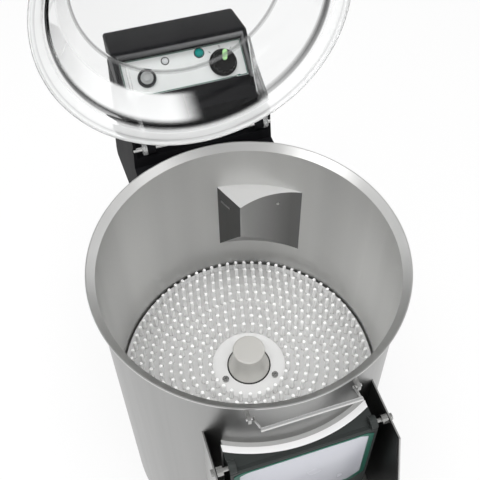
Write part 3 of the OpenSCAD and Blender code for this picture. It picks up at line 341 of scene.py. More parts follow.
def deflector_sheet():
    """The deflector's sheet, with painted light and shade: its top is painted bright, and it is painted
    darker towards its right end and on its left side.
    """
    front, right_end_painted_shade = (0.4, 0.4, 0.395), (0.13, 0.13, 0.128)
    left_side_painted_shade, top_painted_light = (0.07, 0.07, 0.069), (0.56, 0.56, 0.555)
    made, tree, shader = finish_of("satin_steel_deflector", (0.36, 0.36, 0.355), 0.32, 0.3)
    # Painted light and shade by where each face points: left faces painted dark, the top painted bright, the
    # right end painted darker
    facing = node(tree, "ShaderNodeNewGeometry").outputs["Normal"]
    facing = node(tree, "ShaderNodeSeparateXYZ", {"Vector": facing})
    where = node(tree, "ShaderNodeTexCoord").outputs["Object"]
    at = node(tree, "ShaderNodeSeparateXYZ", {"Vector": where})
    along = mapped(tree, at.outputs["X"], 0, 1, 35 * MM, 120 * MM)
    left = mapped(tree, facing.outputs["X"], 1, 0, -0.85, -0.6)
    top_height_for_painted_light = mapped(tree, at.outputs["Z"], 0, 1, (DEFLECTOR_TOP - 3) * MM, (DEFLECTOR_TOP - 1) * MM)
    top = mapped(tree, facing.outputs["Z"], 0, top_height_for_painted_light, 0.5, 0.9)
    colour = mixed(tree, left, mixed(tree, along, front, right_end_painted_shade), left_side_painted_shade)
    tree.links.new(mixed(tree, top, colour, top_painted_light), shader.inputs["Base Color"])
    fine = grain(tree, SHEET_GRAIN, VERTICAL, 4, 0.7)
    tree.links.new(mapped(tree, fine, 0.26, 0.4), shader.inputs["Roughness"])
    return made


def nylon():
    """White nylon, with painted shade: greyer round the bristles' feet, where the bristles shade it, and
    white at their tips.
    """
    foot_painted_shade, tip_white = (0.52, 0.52, 0.515), (0.97, 0.97, 0.965)
    made, tree, shader = finish_of("white_nylon", (0.93, 0.93, 0.925), 0.45, specular_ior_level=0.3)
    where = node(tree, "ShaderNodeTexCoord").outputs["Object"]
    height = node(tree, "ShaderNodeSeparateXYZ", {"Vector": where}).outputs["Z"]
    # Painted shade: grey at the bristles' feet, fading to white 3 mm up
    up = mapped(tree, height, 0, 1, (DISC_TOP + 0.3) * MM, (DISC_TOP + 3) * MM)
    tree.links.new(mixed(tree, up, foot_painted_shade, tip_white), shader.inputs["Base Color"])
    tree.links.new(mapped(tree, grain(tree, PLASTIC_TONE), 0.4, 0.5), shader.inputs["Roughness"])
    return made


def housing_plastic():
    """Black moulded plastic, matt, with a painted highlight: greyer on the lip where its attribute says so.
    """
    black, lip_painted_highlight = (0.005, 0.005, 0.006), (0.22, 0.22, 0.225)
    made, tree, shader = finish_of("black_box_plastic", black, 0.42, specular_ior_level=0.06)
    lip = node(tree, "ShaderNodeAttribute", attribute_name="lip").outputs["Fac"]
    tree.links.new(mixed(tree, lip, black, lip_painted_highlight), shader.inputs["Base Color"])
    slow = mapped(tree, grain(tree, PLASTIC_TONE), 0.38, 0.48)
    tree.links.new(slow, shader.inputs["Roughness"])
    bumped(tree, shader, grain(tree, PEBBLES, detail=2), 0.2, 0.00002)
    return made


def moulded_clear():
    """Clear moulding: its own attributes say where it is frosted, in part as a painted reflection, and how
    much it greys what is seen through it, mostly as painted shade."""
    clear, grey_tint = (0.97, 0.975, 0.975), (0.07, 0.07, 0.07)
    made, tree, shader = finish_of(
        "clear_moulding", (0.95, 0.955, 0.955), 0.04, ior=1.3, specular_ior_level=0.06)
    frost_and_painted_reflection = node(tree, "ShaderNodeAttribute", attribute_name="frost_and_painted_reflection").outputs["Fac"]
    grey = node(tree, "ShaderNodeAttribute", attribute_name="grey").outputs["Fac"]
    tree.links.new(mapped(tree, frost_and_painted_reflection, 1, 0), shader.inputs["Transmission Weight"])
    tree.links.new(mixed(tree, grey, clear, grey_tint), shader.inputs["Base Color"])
    slow = grain(tree, 9, detail=2)
    tree.links.new(mapped(tree, slow, 0.02, 0.06), shader.inputs["Roughness"])
    return made


tub_steel = tub_sheet()
sheet_steel = steel("satin_steel_sheet", (0.52, 0.52, 0.51), 0.32, VERTICAL)
deflector_steel = deflector_sheet()
wire_steel, _, _ = finish_of("polished_wire", (0.74, 0.74, 0.735), 0.16, 1.0)
fastener_steel = steel("bright_fasteners", (0.45, 0.45, 0.44), 0.26, scale=3)
shaft_steel = steel("turned_steel", (0.55, 0.55, 0.56), 0.25, (0.05, 0.05, 1), 2)
hub_metal = steel("turned_aluminium", (0.66, 0.65, 0.62), 0.42, (0.3, 0.3, 1), 2)
hub_metal.node_tree.nodes["Principled BSDF"].inputs["Metallic"].default_value = 0.45
ring_dark = steel("dark_ring", (0.09, 0.09, 0.095), 0.25, scale=3)
ring_grey = steel("grey_ring", (0.42, 0.42, 0.43), 0.28, scale=3)
brass = steel("valve_brass", (0.6, 0.42, 0.17), 0.35, scale=2)
cast_iron = plastic("machined_cast_iron", (0.16, 0.16, 0.17), 0.55, 0.0002, 500, metallic=0.7)

bristle_nylon = nylon()
white_plastic = plastic("white_disc_plastic", (0.66, 0.66, 0.655), 0.5, specular_ior_level=0.3)
door_white = plastic("white_door_plastic", (0.84, 0.84, 0.84), 0.3)
label_white = plastic("pale_label", (0.6, 0.61, 0.665), 0.25)
panel_white = plastic("white_panel", (0.9, 0.92, 0.91), 0.25)

box_plastic = housing_plastic()
black_plastic = plastic(
    "black_housing_plastic", (0.008, 0.008, 0.009), 0.55, 0.00001, specular_ior_level=0.03)
black_sheet = plastic("near_black_cheek_inside", (0.006, 0.006, 0.006), 0.35, specular_ior_level=0.2)
powder_coat = plastic(
    "black_powder_coat", (0.012, 0.012, 0.013), 0.5, 0.00006, 1400, specular_ior_level=0.08)
cover_plastic = plastic(
    "grey_green_cover", (0.03, 0.034, 0.033), 0.4, 0.00002, specular_ior_level=0.25)
knob_black = plastic("black_knob", (0.004, 0.004, 0.004), 0.28, specular_ior_level=0.16)
seal_grey = plastic("grey_rubber", (0.42, 0.42, 0.415), 0.6, 0.00003, 1400)
rubber = plastic("black_rubber", (0.02, 0.02, 0.02), 0.7, 0.00004, 1600)
motor_enamel = plastic("motor_enamel", (0.1, 0.15, 0.2), 0.4, 0.00005, 700)

pointer_green = plastic("light_green_pointer", (0.52, 0.9, 0.42), 0.4, specular_ior_level=0.2)
button_grey = plastic("grey_button", (0.45, 0.46, 0.46), 0.35)
lamp_green = plastic("green_lens", (0.0, 0.27, 0.24), 0.15)
lamp_clear = plastic("clear_lens", (0.72, 0.73, 0.74), 0.1)
line_green = plastic("dark_green_line", (0.01, 0.11, 0.075), 0.35)
tick_grey = plastic("dark_tick", (0.03, 0.035, 0.035), 0.4)

clear_plastic, _, _ = finish_of(
    "clear_plastic", (0.9, 0.905, 0.905), 0.03, transmission_weight=1.0, ior=1.35,
    specular_ior_level=0.2)
clear_moulding = moulded_clear()

CAD_FINISHES = {
    tub_steel: "tub tub_floor",
    sheet_steel: "cheek_left cheek_right chute_floor bail_brackets motor_bracket base_plate drain_pipe",
    deflector_steel: "deflector",
    wire_steel: "bail hinge_pin",
    fastener_steel: "disc_screws door_pivots deflector_rivet",
    shaft_steel: "drive_shaft motor_shaft shaft_nut bearings",
    hub_metal: "hub disc_carrier",
    cast_iron: "bearing_housing large_pulley motor_pulley",
    white_plastic: "brush_disc spray_tube",
    bristle_nylon: "bristles",
    door_white: "door_plate",
    cover_plastic: "door_cover",
    label_white: "door_label",
    # The cheeks' inner faces are coloured near black
    black_sheet: "cheek_liner_left cheek_liner_right",
    black_plastic: "hood control_box hinge_collars timer cable_gland",
    powder_coat: "column column_cover",
    rubber: "feet shaft_seal drive_belt",
    seal_grey: "door_seal",
    knob_black: "timer_knob",
    pointer_green: "knob_pointer",
    button_grey: "button_cap",
    ring_grey: "button_ring",
    lamp_green: "pilot_lamp",
    lamp_clear: "indicator_lamp",
    panel_white: "control_panel",
    motor_enamel: "motor",
    brass: "water_valve",
    clear_plastic: "lid lid_catch",
}
for finish, names in CAD_FINISHES.items():
    for name in names.split():
        NODES[name].data.materials.clear()
        NODES[name].data.materials.append(finish)

# Bristles

RING_R, RING_STEP, PITCH, RINGS = 184.5, 15.35, 14.1, 9
BRISTLE_H = box_of("bristles")[1][2] - DISC_TOP
BRISTLE_SIDES, LEAN = 8, 0.012
SLICE_MARGIN, SLICE_T = 4, 3


def bristle_field():
    """Each ring of radius R holds floor(2 pi R / pitch) bristles. A bristle is a round peg whose
    radius goes from its foot's fillet to a straight stem and a domed tip; it leans a little."""
    profile = np.array([
        (4.3, -0.6), (3.45, 0.5), (3.2, 2.0), (3.1, 10), (3.0, BRISTLE_H - 2.2),
        (2.7, BRISTLE_H - 0.9), (1.7, BRISTLE_H - 0.15), (0.0, BRISTLE_H)])
    peg, quads = revolved(profile, BRISTLE_SIDES, closed=False)
    centres = []
    for ring in range(RINGS):
        r = RING_R - ring * RING_STEP
        count = int(2 * math.pi * r / PITCH)
        turn = (np.arange(count) + ring / 2) * 2 * np.pi / count
        centres.append(np.stack([r * np.cos(turn), r * np.sin(turn)], -1))
    centres = np.concatenate(centres)
    chance = np.random.default_rng(7)
    lean = chance.normal(0, LEAN, (len(centres), 2))
    points = np.repeat(peg[None], len(centres), 0)
    points[..., :2] += centres[:, None] + lean[:, None] * np.maximum(points[..., 2:], 0)
    points[..., 2] += DISC_TOP
    starts = np.arange(len(centres)) * len(peg)
    faces = (quads[None] + starts[:, None, None]).reshape(-1, 4)
    return points.reshape(-1, 3), faces


bristle_points, bristle_faces = bristle_field()
inner_r, outer_r = RING_R - (RINGS - 1) * RING_STEP - SLICE_MARGIN, RING_R + SLICE_MARGIN
slice_points, slice_faces = revolved(
    [(inner_r, DISC_TOP - SLICE_T), (outer_r, DISC_TOP - SLICE_T), (outer_r, DISC_TOP),
     (inner_r, DISC_TOP)], 128)
piece(
    "bristle_field", np.concatenate([slice_points, bristle_points]),
    [slice_faces, bristle_faces + len(slice_points)], bristle_nylon, "disc", "bristle",
    replaces=["bristles"])

# Lid

HINGE_LOW, HINGE_HIGH = box_of("hinge_pin")
HINGE = (0.0, (HINGE_LOW[1] + HINGE_HIGH[1]) / 2, (HINGE_LOW[2] + HINGE_HIGH[2]) / 2)
LID_OPEN = 91.5
# The closed lid's section as (radius, height over the rim), outside from the brim in to the top's
# middle: brim, flange with its moulded line, crease and wall, the top's edge, and the top. Close
# points on both sides of an edge keep the frost and the grey of one stretch out of the next.
LID_OUTER = [
    (204, -5.6), (204, -1), (202.4, 0.4), (201, 0.6),
    (197.4, 1.2), (196.4, 1.4), (195.4, 1.8), (189, 5), (186, 9.5),
    (183, 12.5), (181, 18), (179.2, 23), (166.5, 59), (164, 63),
    (149.5, 86.47), (147.2, 90.2), (145.6, 92.0), (142.8, 92.06),
    (118, 92.56), (90, 93.14), (55, 93.87), (22, 94.55), (0, 95)]
# The same stretches inside, from the top's middle back to the brim
LID_INNER = [
    (0, 92), (22, 91.58), (55, 90.96), (90, 90.31), (118, 89.78),
    (143.0, 89.3), (144.8, 88.2), (146.45, 85.5),
    (161.3, 61), (163.4, 57.5), (175.8, 22), (177.6, 17),
    (180.4, 14.6), (181.4, 9.5), (184.6, 7.6), (187.4, 2.2), (195, -1.2),
    (200.6, -2.2), (201.2, -5.6)]
ARM_X, ARM_T, ARM_FROST, ARM_GREY = (-87.0, 95.0), 4.4, 0.12, 0.16
EYE_R, EYE_W, PIN_R = 9.5, 7, 4.05


def lid_bowl():
    """The lid's section with its corners eased, turned about the tub's axis. Frost lies on the flange. On
    the rear left quarter of the closed lid's wall, and faintly on the top's edge, it is a painted
    reflection.
    Painted shade greys the brim, the moulded line, the crease, most towards ±x, the top's edge, and a little
    towards -x."""
    outline = soften(np.array(LID_OUTER + LID_INNER), 1.2, 4)
    outline = outline[np.r_[True, np.linalg.norm(np.diff(outline, axis=0), axis=1) > 1e-4]]
    outline[:, 0] = np.maximum(outline[:, 0], 0)
    segments = 256
    points, faces = revolved(outline + (0, RIM_H), segments)
    r, h = np.repeat(outline[:, 0], segments), np.repeat(outline[:, 1], segments)
    turn = np.degrees(np.arctan2(points[:, 1], points[:, 0]))
    flange = smooth_step(r, 184, 188)
    wall = band(h, (14, 20), (56, 62))
    left = band(turn, (88, 104), (150, 185))
    side = smooth_step(-points[:, 0], -60, 190)
    crease = band(r, (179.2, 180.2), (181.6, 183.4))
    brim = smooth_step(r, 202.6, 203.4)
    line = band(r, (195.6, 196.2), (196.6, 197.2))
    top_edge_painted_line = smooth_step(r, 143.1, 144.4) * smooth_step(h, 86.6, 88)
    # Painted reflection: the wall's rear left quarter and the top's edge are frosted to stand for it; the
    # flange's frosting is the moulding's own
    frost_and_painted_reflection = np.maximum(np.maximum(flange * 0.4, 0.55 * wall * left), 0.14 * top_edge_painted_line)
    # Painted shade: grey on the crease, most towards ±x, on the brim, the moulded line and the top's edge,
    # and a little towards -x
    crease_painted_shade = 0.35 + 0.65 * np.abs(np.cos(np.radians(turn)))
    grey = 0.015 + 0.05 * side * (1 - flange) + crease * crease_painted_shade
    grey = np.clip(grey + 0.6 * top_edge_painted_line + 0.5 * brim + 0.3 * line, 0, 1)
    return points, faces, frost_and_painted_reflection, grey


def lid_arm(x):
    """A rib that stands on the lid's outside at x: its foot follows the wall's section there, y =
    sqrt(rr - xx), its back runs out to an eye about the hinge pin."""
    sunk, eye_r = 0.6, EYE_R - 0.8
    foot = [(r, h) for r, h in LID_OUTER if 146 < r < 190][::-1]
    foot = [(math.sqrt(r * r - x * x) - sunk, RIM_H + h) for r, h in foot]
    y, z = HINGE[1], HINGE[2]
    around = np.radians(np.linspace(118, -118, 12))
    back = [(foot[0][0] + 5, foot[0][1] + 1), (152, RIM_H + 72), (y - 14, RIM_H + 34)]
    back += [(y + eye_r * math.cos(a), z + eye_r * math.sin(a)) for a in around]
    back += [(y - 14, z - 9), (168, RIM_H + 10)]
    outline = np.array(foot[::-1] + back)
    after = np.roll(outline, -1, 0)
    area = np.sum(outline[:, 0] * after[:, 1] - after[:, 0] * outline[:, 1])
    points, faces = slab(outline if area > 0 else outline[::-1], -ARM_T / 2, ARM_T / 2, 0.5)
    return np.column_stack([points[:, 2] + x, points[:, 0], points[:, 1]]), faces


def ring_on_hinge(x, width, inner, outer, edge, segments=40):
    """A collar about the hinge axis at x: an eased oblong section turned about it."""
    half = width / 2
    section = soften(np.array([(inner, -half), (outer, -half), (outer, half), (inner, half)]), edge, 4)
    points, faces = revolved(section, segments)
    return np.column_stack([points[:, 2] + x, points[:, 0] + HINGE[1], points[:, 1] + HINGE[2]]), faces


bowl_points, bowl_faces, bowl_frost_and_painted_reflection, bowl_tint_and_painted_shade = lid_bowl()
lid_points, lid_faces = joined(
    (bowl_points, bowl_faces), *[lid_arm(x) for x in ARM_X],
    *[ring_on_hinge(x, EYE_W, PIN_R, EYE_R, 1.0) for x in ARM_X])
arm_count = len(lid_points) - len(bowl_points)
lid_piece = piece(
    "lid_moulding", turned(lid_points, -LID_OPEN, "X", HINGE), lid_faces, clear_moulding, "lid", "clear",
    sharp=50, replaces=["lid"],
    tints={"frost_and_painted_reflection": np.r_[bowl_frost_and_painted_reflection, np.full(arm_count, ARM_FROST)],
           "grey": np.r_[bowl_tint_and_painted_shade, np.full(arm_count, ARM_GREY)]})
# It is clear, so the lamps' light passes through it
lid_piece.visible_shadow = False

# Control box

PANEL, TILT = np.array((0.0, 305.0, 632.9)), 37.9
UP_SLOPE = np.array((0.0, math.cos(math.radians(TILT)), math.sin(math.radians(TILT))))
OFF_SLOPE = np.array((0.0, -math.sin(math.radians(TILT)), math.cos(math.radians(TILT))))
BOX_X, RECESS_X, LIP, LIP_STEPS, EDGE = 103.0, 94.0, 4.0, 5, 4.8
# Heights off the panel: of the box's own slope, and of the recess's floor
BOX_N, RECESS_N = 16.8, -1.5


def on_panel(points, x=0.0, s=0.0):
    """Points of (across, up the slope, off the slope) set on the control panel at x and s."""
    points = np.asarray(points, float) + (x, s, 0)
    return PANEL + points[:, :1] * (1, 0, 0) + points[:, 1:2] * UP_SLOPE + points[:, 2:] * OFF_SLOPE


def slope_points(s, n):
    """Side-view points at distances s up the panel's slope and n off it."""
    s, n = np.broadcast_arrays(np.asarray(s, float), np.asarray(n, float))
    return (PANEL + s[:, None] * UP_SLOPE + n[:, None] * OFF_SLOPE)[:, 1:]


def control_box():
    """Two side views with matching points, the full one and the one with the recess, joined by
    stations across the box: a share of 0 is full and 1 is recessed, and the share follows a quarter
    circle at the recess's rounded lip. The end faces are drawn in with a quarter circle too."""
    base = box_of("control_box")[0][2]
    back_angle, slope_angle = 80, 90 + TILT
    w = np.linspace(0, np.pi / 2, LIP_STEPS)
    lip_s, lip_n = 33 - LIP * np.sin(w), BOX_N - LIP * (1 - np.cos(w))
    shared = np.concatenate([
        np.column_stack([np.linspace(290, 403, 8), np.full(8, base)]),
        bend((393, base + 41), 10, 0, back_angle), bend((327, base + 60), 5, back_angle, slope_angle),
        slope_points([35, 33.5], BOX_N)])
    recessed = np.concatenate([
        shared, slope_points(lip_s, lip_n), slope_points([29, 29, 28.8], [6, 0, -1.4]),
        slope_points(np.linspace(28.8, -43.5, 17), RECESS_N)[1:], [(280, base)]])
    full = np.concatenate([
        shared, slope_points(lip_s, BOX_N), slope_points(np.linspace(28, -32, 11), BOX_N),
        bend((272, base + 16), 6, slope_angle, 180, 6), [(266, base + 8), (266, base + 0.2), (280, base)]])

    ends = np.linspace(0, np.pi / 2, 6)
    stations = [(BOX_X - EDGE * (1 - math.cos(a)), EDGE * (1 - math.sin(a)), 0.0) for a in ends]
    for a in w:
        stations.append(
            (RECESS_X + LIP * (1 - math.sin(a)), 0.0, LIP * (1 - math.cos(a)) / (BOX_N - RECESS_N)))
    stations += [(RECESS_X - 0.1, 0.0, 1.0), (RECESS_X - 2, 0.0, 1.0)]
    stations += [(-x, edge, share) for x, edge, share in stations[::-1]]

    first, slope_count = len(shared) - 1, 20
    on_lip, on_slope = np.zeros(len(full)), np.zeros(len(full))
    on_lip[first:len(shared) + LIP_STEPS] = 1
    on_slope[first:len(shared) + slope_count] = 1
    rings, lip_highlights = [], []
    for x, edge, share in stations:
        ring = inset(full, edge) if edge else full + share * (recessed - full)
        rings.append(np.column_stack([np.full(len(ring), x), ring]))
        # Painted highlight: the lip is greyed, more towards +x, where it catches the light
        across = 0.45 + 0.55 * smooth_step(x, -90, 100)
        lip_highlights.append(across * (on_lip if share == 1 else on_slope * smooth_step(share, 0, 0.1)))
    n, last = len(full), (len(stations) - 1) * len(full)
    faces = [grid_faces(len(rings), n), [list(range(n))], [list(range(last, last + n))[::-1]]]
    return np.concatenate(rings), faces, np.concatenate(lip_highlights)


box_points, box_faces, box_lip_highlight = control_box()
piece(
    "control_box_shell", box_points, box_faces, box_plastic, "machine", "black_plastic", sharp=40,
    replaces=["control_box"], tints={"lip": box_lip_highlight})

# Control panel's details

# Places on the panel, across it and up its slope from its middle
TIMER, BUTTON, LED, PILOT = (59, -3), (-58, -3), (-25.5, 17.5), (27, 19)
TICK_R, TICK_ANGLES, POINTER_TURN = 25.5, (50, 90, 130), -14
KNOB_BORE_R, KNOB_BORE_N, SCALLOPS = 3.05, 10.0, 15


def spun(points, angle):
    """Points turned by an angle in degrees about the z axis."""
    a = math.radians(angle)
    across = points[:, 0] * math.cos(a) - points[:, 1] * math.sin(a)
    up = points[:, 0] * math.sin(a) + points[:, 1] * math.cos(a)
    return np.column_stack([across, up, points[:, 2]])


def on_panel_piece(name, shape, x, s_up, material, body, slot, turn=0.0, **options):
    """A piece drawn about its own middle, turned on the panel and set at x and s."""
    points, faces = shape
    return piece(name, on_panel(spun(points, turn), x, s_up), faces, material, body, slot, **options)


def frame_line(half_x, half_s, corner, width, low, high):
    """A thin frame: an oblong with rounded corners at its outer and its inner edge, between two
    heights off the panel."""
    oblong = np.array([(-half_x, -half_s), (half_x, -half_s), (half_x, half_s), (-half_x, half_s)], float)
    outer = soften(oblong, corner, 7)
    inner = inset(outer, width)
    rings = [np.column_stack([ring, np.full(len(ring), h)])
             for ring, h in ((outer, low), (outer, high), (inner, high), (inner, low))]
    return np.concatenate(rings), [grid_faces(4, len(outer), wrap_rows=True)]


def dial_tick(angle):
    """A flat bar that lies at an angle round the dial, and points to its middle."""
    points, faces = slab(
        np.array([(-0.45, -2), (0.45, -2), (0.45, 2), (-0.45, 2)], float), 0, 0.15, 0.05, 2)
    return spun(points + (0, TICK_R, 0), angle - 90), faces


def scalloped_knob():
    """Rings of radius r(n)(1 - d(n)c), c being (0.5 + 0.5 cos 15a) to the power of 1.5: the skirt is
    round, and the grip above it is drawn in fifteen times, less towards its top. The list is (r, n,
    d), from the bore's mouth out, up and in to the middle; the bore is closed off inside."""
    profile = [
        (KNOB_BORE_R, 0.8, 0), (20.2, 0.8, 0), (21, 1.5, 0), (21, 2.9, 0), (20.4, 3.5, 0),
        (18.6, 3.7, 0), (18.3, 4.6, 0.09), (18.0, 10, 0.085), (17.6, 15.2, 0.075),
        (16.9, 16.5, 0.055), (15.6, 17, 0.02), (14.4, 17, 0), (13.6, 16.3, 0), (6, 16.1, 0),
        (0, 16.1, 0)]
    profile = [(0, KNOB_BORE_N, 0), (KNOB_BORE_R, KNOB_BORE_N, 0)] + profile
    segments = 180
    a = np.linspace(0, 2 * np.pi, segments, endpoint=False)
    rings = []
    for r, n, depth in profile:
        radius = r * (1 - depth * (0.5 + 0.5 * np.cos(SCALLOPS * a)) ** 1.5)
        rings.append(np.column_stack([radius * np.cos(a), radius * np.sin(a), np.full(segments, n)]))
    return np.concatenate(rings), [grid_faces(len(rings), segments)]


def round_ended_bar(width, length, low, high, edge, shift):
    """A flat bar whose ends are half circles of half its width, moved along by shift."""
    r = width / 2
    outline = np.concatenate([
        bend((0, length / 2 - r), r, 0, 180, 13), bend((0, -length / 2 + r), r, 180, 360, 13)])
    points, faces = slab(outline, low, high, edge, low_edge=0.05)
    return points + (0, shift, 0), faces


def turned_on_panel(profile, closed=False):
    """A profile of (radius, height off the panel) turned about its own middle, from pole to pole
    or, where closed is set, round and back to its first point."""
    return revolved(profile, 72, closed)


def lamp_bezel(r):
    """A low ring round a lamp of radius r, with its outer edge cut off."""
    return turned_on_panel(
        [(r, -0.2), (r + 1.3, -0.2), (r + 1.3, 0.5), (r + 1.0, 0.9), (r + 0.3, 0.9), (r, 0.6)], closed=True)


on_panel_piece(
    "panel_edge_line", frame_line(92.6, 27.6, 3, 1.3, -0.2, 0.12), 0, 0, line_green, "machine", "panel")
on_panel_piece(
    "dial_ticks", joined(*[dial_tick(angle) for angle in TICK_ANGLES]), *TIMER, tick_grey, "machine",
    "panel")
on_panel_piece(
    "timer_knob_grip", scalloped_knob(), *TIMER, knob_black, "knob", "knob_black",
    replaces=["timer_knob"])
on_panel_piece(
    "knob_pointer_bar", round_ended_bar(7.4, 17.0, 15.9, 19.0, 1.0, 8.0), *TIMER, pointer_green, "knob",
    "pointer", turn=POINTER_TURN, replaces=["knob_pointer"])
on_panel_piece(
    "button_bezel", turned_on_panel([
        (9.7, -10), (10.9, -10), (10.9, 0.1), (13.6, 0.1), (14, 0.6), (14, 2.6), (13.2, 4.3),
        (12.4, 4.9), (11.6, 4.9), (11.2, 4.1), (10.9, 3.2), (10.5, 3.2), (10.3, 4.6), (9.9, 4.8),
        (9.7, 4.4), (9.7, -10)]),
    *BUTTON, ring_dark, "machine", "bright_steel", replaces=["button_ring"])
on_panel_piece(
    "button_face", turned_on_panel([
        (0, -6.2), (9.5, -6.2), (9.5, 4.9), (9.1, 5.6), (8.4, 5.9), (7.2, 6), (7.0, 4.0), (5.4, 4.0),
        (5.2, 5.9), (3, 5.6), (0, 5.5)]),
    *BUTTON, button_grey, "button", "button_grey", replaces=["button_cap"])
on_panel_piece(
    "pilot_lens", turned_on_panel([
        (0, -22), (4.9, -22), (4.9, 0.05), (6.3, 0.05), (6.5, 0.4), (6.5, 1.7), (6.1, 2.2),
        (5.6, 2.3), (5.4, 3.2), (4.6, 4.4), (3.2, 5.0), (0, 5.2)]),
    *PILOT, lamp_green, "machine", "lamp_green", replaces=["pilot_lamp"])
on_panel_piece(
    "indicator_lens", turned_on_panel([
        (0, -14), (2.9, -14), (2.9, 0.05), (4.6, 0.05), (4.8, 0.4), (4.8, 1.3), (4.4, 1.6),
        (3.7, 1.7), (3.4, 2.6), (2.4, 3.3), (0, 3.6)]),
    *LED, lamp_clear, "machine", "lamp_clear", replaces=["indicator_lamp"])
for bezel_name, lamp_r, spot in (("indicator_bezel", 4.9, LED), ("pilot_bezel", 6.6, PILOT)):
    on_panel_piece(bezel_name, lamp_bezel(lamp_r), *spot, ring_dark, "machine", "bright_steel")

# Line of sealant round the hub's foot

seal_points, seal_faces = revolved(
    [(32.6, DISC_TOP - 0.4), (34.6, DISC_TOP - 0.4), (34.6, DISC_TOP + 0.5), (34.1, DISC_TOP + 0.9),
     (32.6, DISC_TOP + 0.9)], 120)
piece("hub_seal_line", seal_points, [seal_faces], rubber, "disc", "rubber")

# Door's label with its plain border

COVER_FRONT = box_of("door_label")[1][1]
LABEL_X, LABEL_TOP, LABEL_LOW = 93.0, 444.5, 299.0
LOW_CUT, TOP_CUT, TOP_CUT_H = 16, 10, 5
BORDER = 7.5


def label_outline(grow):
    """The label's outline, an oblong with cut corners, grown by a margin."""
    x, top, low = LABEL_X + grow, LABEL_TOP + grow * 0.4, LABEL_LOW - grow
    return soften(np.array([
        (-x + LOW_CUT, low), (x - LOW_CUT, low), (x, low + LOW_CUT), (x, top - TOP_CUT_H),
        (x - TOP_CUT, top), (-x + TOP_CUT, top), (-x, top - TOP_CUT_H), (-x, low + LOW_CUT)], float), 2.0, 4)


def upright(shape, front):
    """A slab drawn in (x, z) with its height towards the front."""
    points, faces = shape
    return np.column_stack([points[:, 0], front - points[:, 2], points[:, 1]]), faces


piece("door_label_border", *upright(slab(label_outline(0), 0, 0.9, 0.3, 3), COVER_FRONT), line_green,
      "door", "label", replaces=["door_label"])
piece("door_label_face", *upright(slab(label_outline(-BORDER), 0.5, 1.15, 0.2, 3), COVER_FRONT),
      label_white, "door", "label")

# Room, light and camera

scene = bpy.context.scene
scene.view_settings.view_transform = "Standard"


def seen_directly(tree):
    """1 for what the camera sees, by itself or in metal, gloss or glass, and 0 for what only
    lights the object."""
    path = node(tree, "ShaderNodeLightPath")
    seen = path.outputs["Is Camera Ray"]
    for ray in ("Is Glossy Ray", "Is Transmission Ray"):
        seen = node(tree, "ShaderNodeMath", {0: seen, 1: path.outputs[ray]}, operation="MAXIMUM").outputs[0]
    return seen


def stage_plane(name, size, where, material):
    """A square sheet of the room."""
    mesh = bpy.data.meshes.new(name)
    s = size / 2
    mesh.from_pydata([(-s, -s, 0), (s, -s, 0), (s, s, 0), (-s, s, 0)], [], [(0, 1, 2, 3)])
    mesh.materials.append(material)
    made = bpy.data.objects.new(name, mesh)
    made.location = where
    scene.collection.objects.link(made)
    return made


def floor_material():
    """White floor: what lights it is mixed with a glow of its own, so it stays white and still
    keeps the object's shadow."""
    glow_share = 0.8
    made = bpy.data.materials.new("floor_white")
    made.use_nodes = True
    tree = made.node_tree
    tree.nodes.clear()
    lit = node(tree, "ShaderNodeBsdfDiffuse", {"Color": (0.9, 0.9, 0.9, 1)})
    glow = node(tree, "ShaderNodeEmission", {"Color": (1, 1, 1, 1), "Strength": 1.0})
    share = node(tree, "ShaderNodeMath", {0: seen_directly(tree), 1: glow_share}, operation="MULTIPLY")
    mix = node(tree, "ShaderNodeMixShader", {0: share.outputs[0], 1: lit.outputs[0], 2: glow.outputs[0]})
    node(tree, "ShaderNodeOutputMaterial", {"Surface": mix.outputs[0]})
    return made


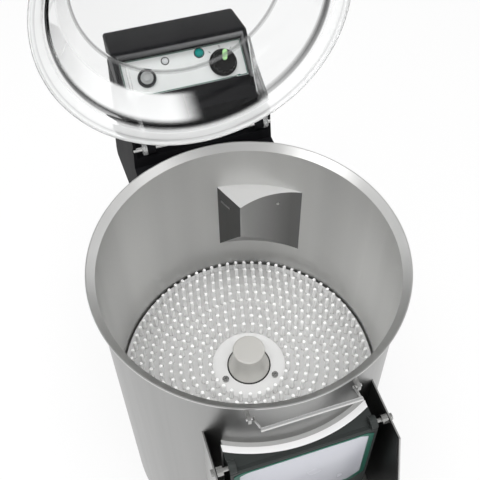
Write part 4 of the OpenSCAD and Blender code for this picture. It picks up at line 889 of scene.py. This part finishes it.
def white_room():
    """A world whose walls are seen white, and greyer towards the ceiling, and which lights the
    object with half that strength."""
    made = bpy.data.worlds.new("room")
    made.use_nodes = True
    tree = made.node_tree
    tree.nodes.clear()
    towards = node(tree, "ShaderNodeTexCoord").outputs["Generated"]
    upward = node(tree, "ShaderNodeSeparateXYZ", {"Vector": towards}).outputs["Z"]
    walls = mixed(tree, mapped(tree, upward, 0, 1, 0.15, 0.75), (1, 1, 1), (0.5, 0.5, 0.5))
    dim = node(tree, "ShaderNodeBackground", {"Color": (1, 1, 1, 1), "Strength": 0.5})
    white = node(tree, "ShaderNodeBackground", {"Color": walls, "Strength": 1.0})
    blend = node(
        tree, "ShaderNodeMixShader", {0: seen_directly(tree), 1: dim.outputs[0], 2: white.outputs[0]})
    node(tree, "ShaderNodeOutputWorld", {"Surface": blend.outputs[0]})
    return made


def lamp(name, where, size, power):
    """A square soft light at a point, turned to the machine."""
    data = bpy.data.lights.new(name, "AREA")
    data.shape, data.size, data.energy = "SQUARE", size, power
    made = bpy.data.objects.new(name, data)
    made.visible_transmission = False
    away = Vector(np.array(where, float) - np.array(LAMP_TARGET, float))
    made.matrix_world = Matrix.Translation(where) @ away.to_track_quat("Z", "Y").to_matrix().to_4x4()
    scene.collection.objects.link(made)
    return made


stage_plane("floor", 30, (0, 0, 0), floor_material())
scene.world = white_room()
LAMP_TARGET = (0, -0.05, 0.4)
key_lamp = lamp("key", (-0.15, -0.5, 3.2), 2.2, 80)
# Its own mirror image would veil the clear lid
key_lamp.visible_glossy = False
lamp("side", (-1.9, -0.7, 1.9), 1.4, 12)
lamp("fill", (1.5, -1.7, 1.7), 1.4, 6)

# The camera of the photograph. FOCAL_PX is its focal length in pixels of the square picture,
# AXIS_PX the pixel that its axis goes through, EYE its place, and the three angles are in degrees.
FOCAL_PX, FRAME_PX, AXIS_PX, SENSOR = 760.98, 480, (240.0, 200.0), 36
EYE = (-179.95, -558.49, 803.61 + RIM_H)
PITCH_DOWN, TURN, ROLL = 49.603, 16.906, -0.967
cam_data = bpy.data.cameras.new("photo_camera")
cam = bpy.data.objects.new("photo_camera", cam_data)
scene.collection.objects.link(cam)
scene.camera = cam
cam_data.sensor_width = SENSOR
cam_data.lens = FOCAL_PX / FRAME_PX * SENSOR
cam_data.shift_x = (FRAME_PX / 2 - AXIS_PX[0]) / FRAME_PX
cam_data.shift_y = (AXIS_PX[1] - FRAME_PX / 2) / FRAME_PX
cam_data.clip_start, cam_data.clip_end = 0.01, 100
turn = (
    Matrix.Rotation(math.radians(-TURN), 4, "Z")
    @ Matrix.Rotation(math.radians(90 - PITCH_DOWN), 4, "X")
    @ Matrix.Rotation(math.radians(ROLL), 4, "Z")
)
cam.matrix_world = Matrix.Translation(place(EYE)) @ turn
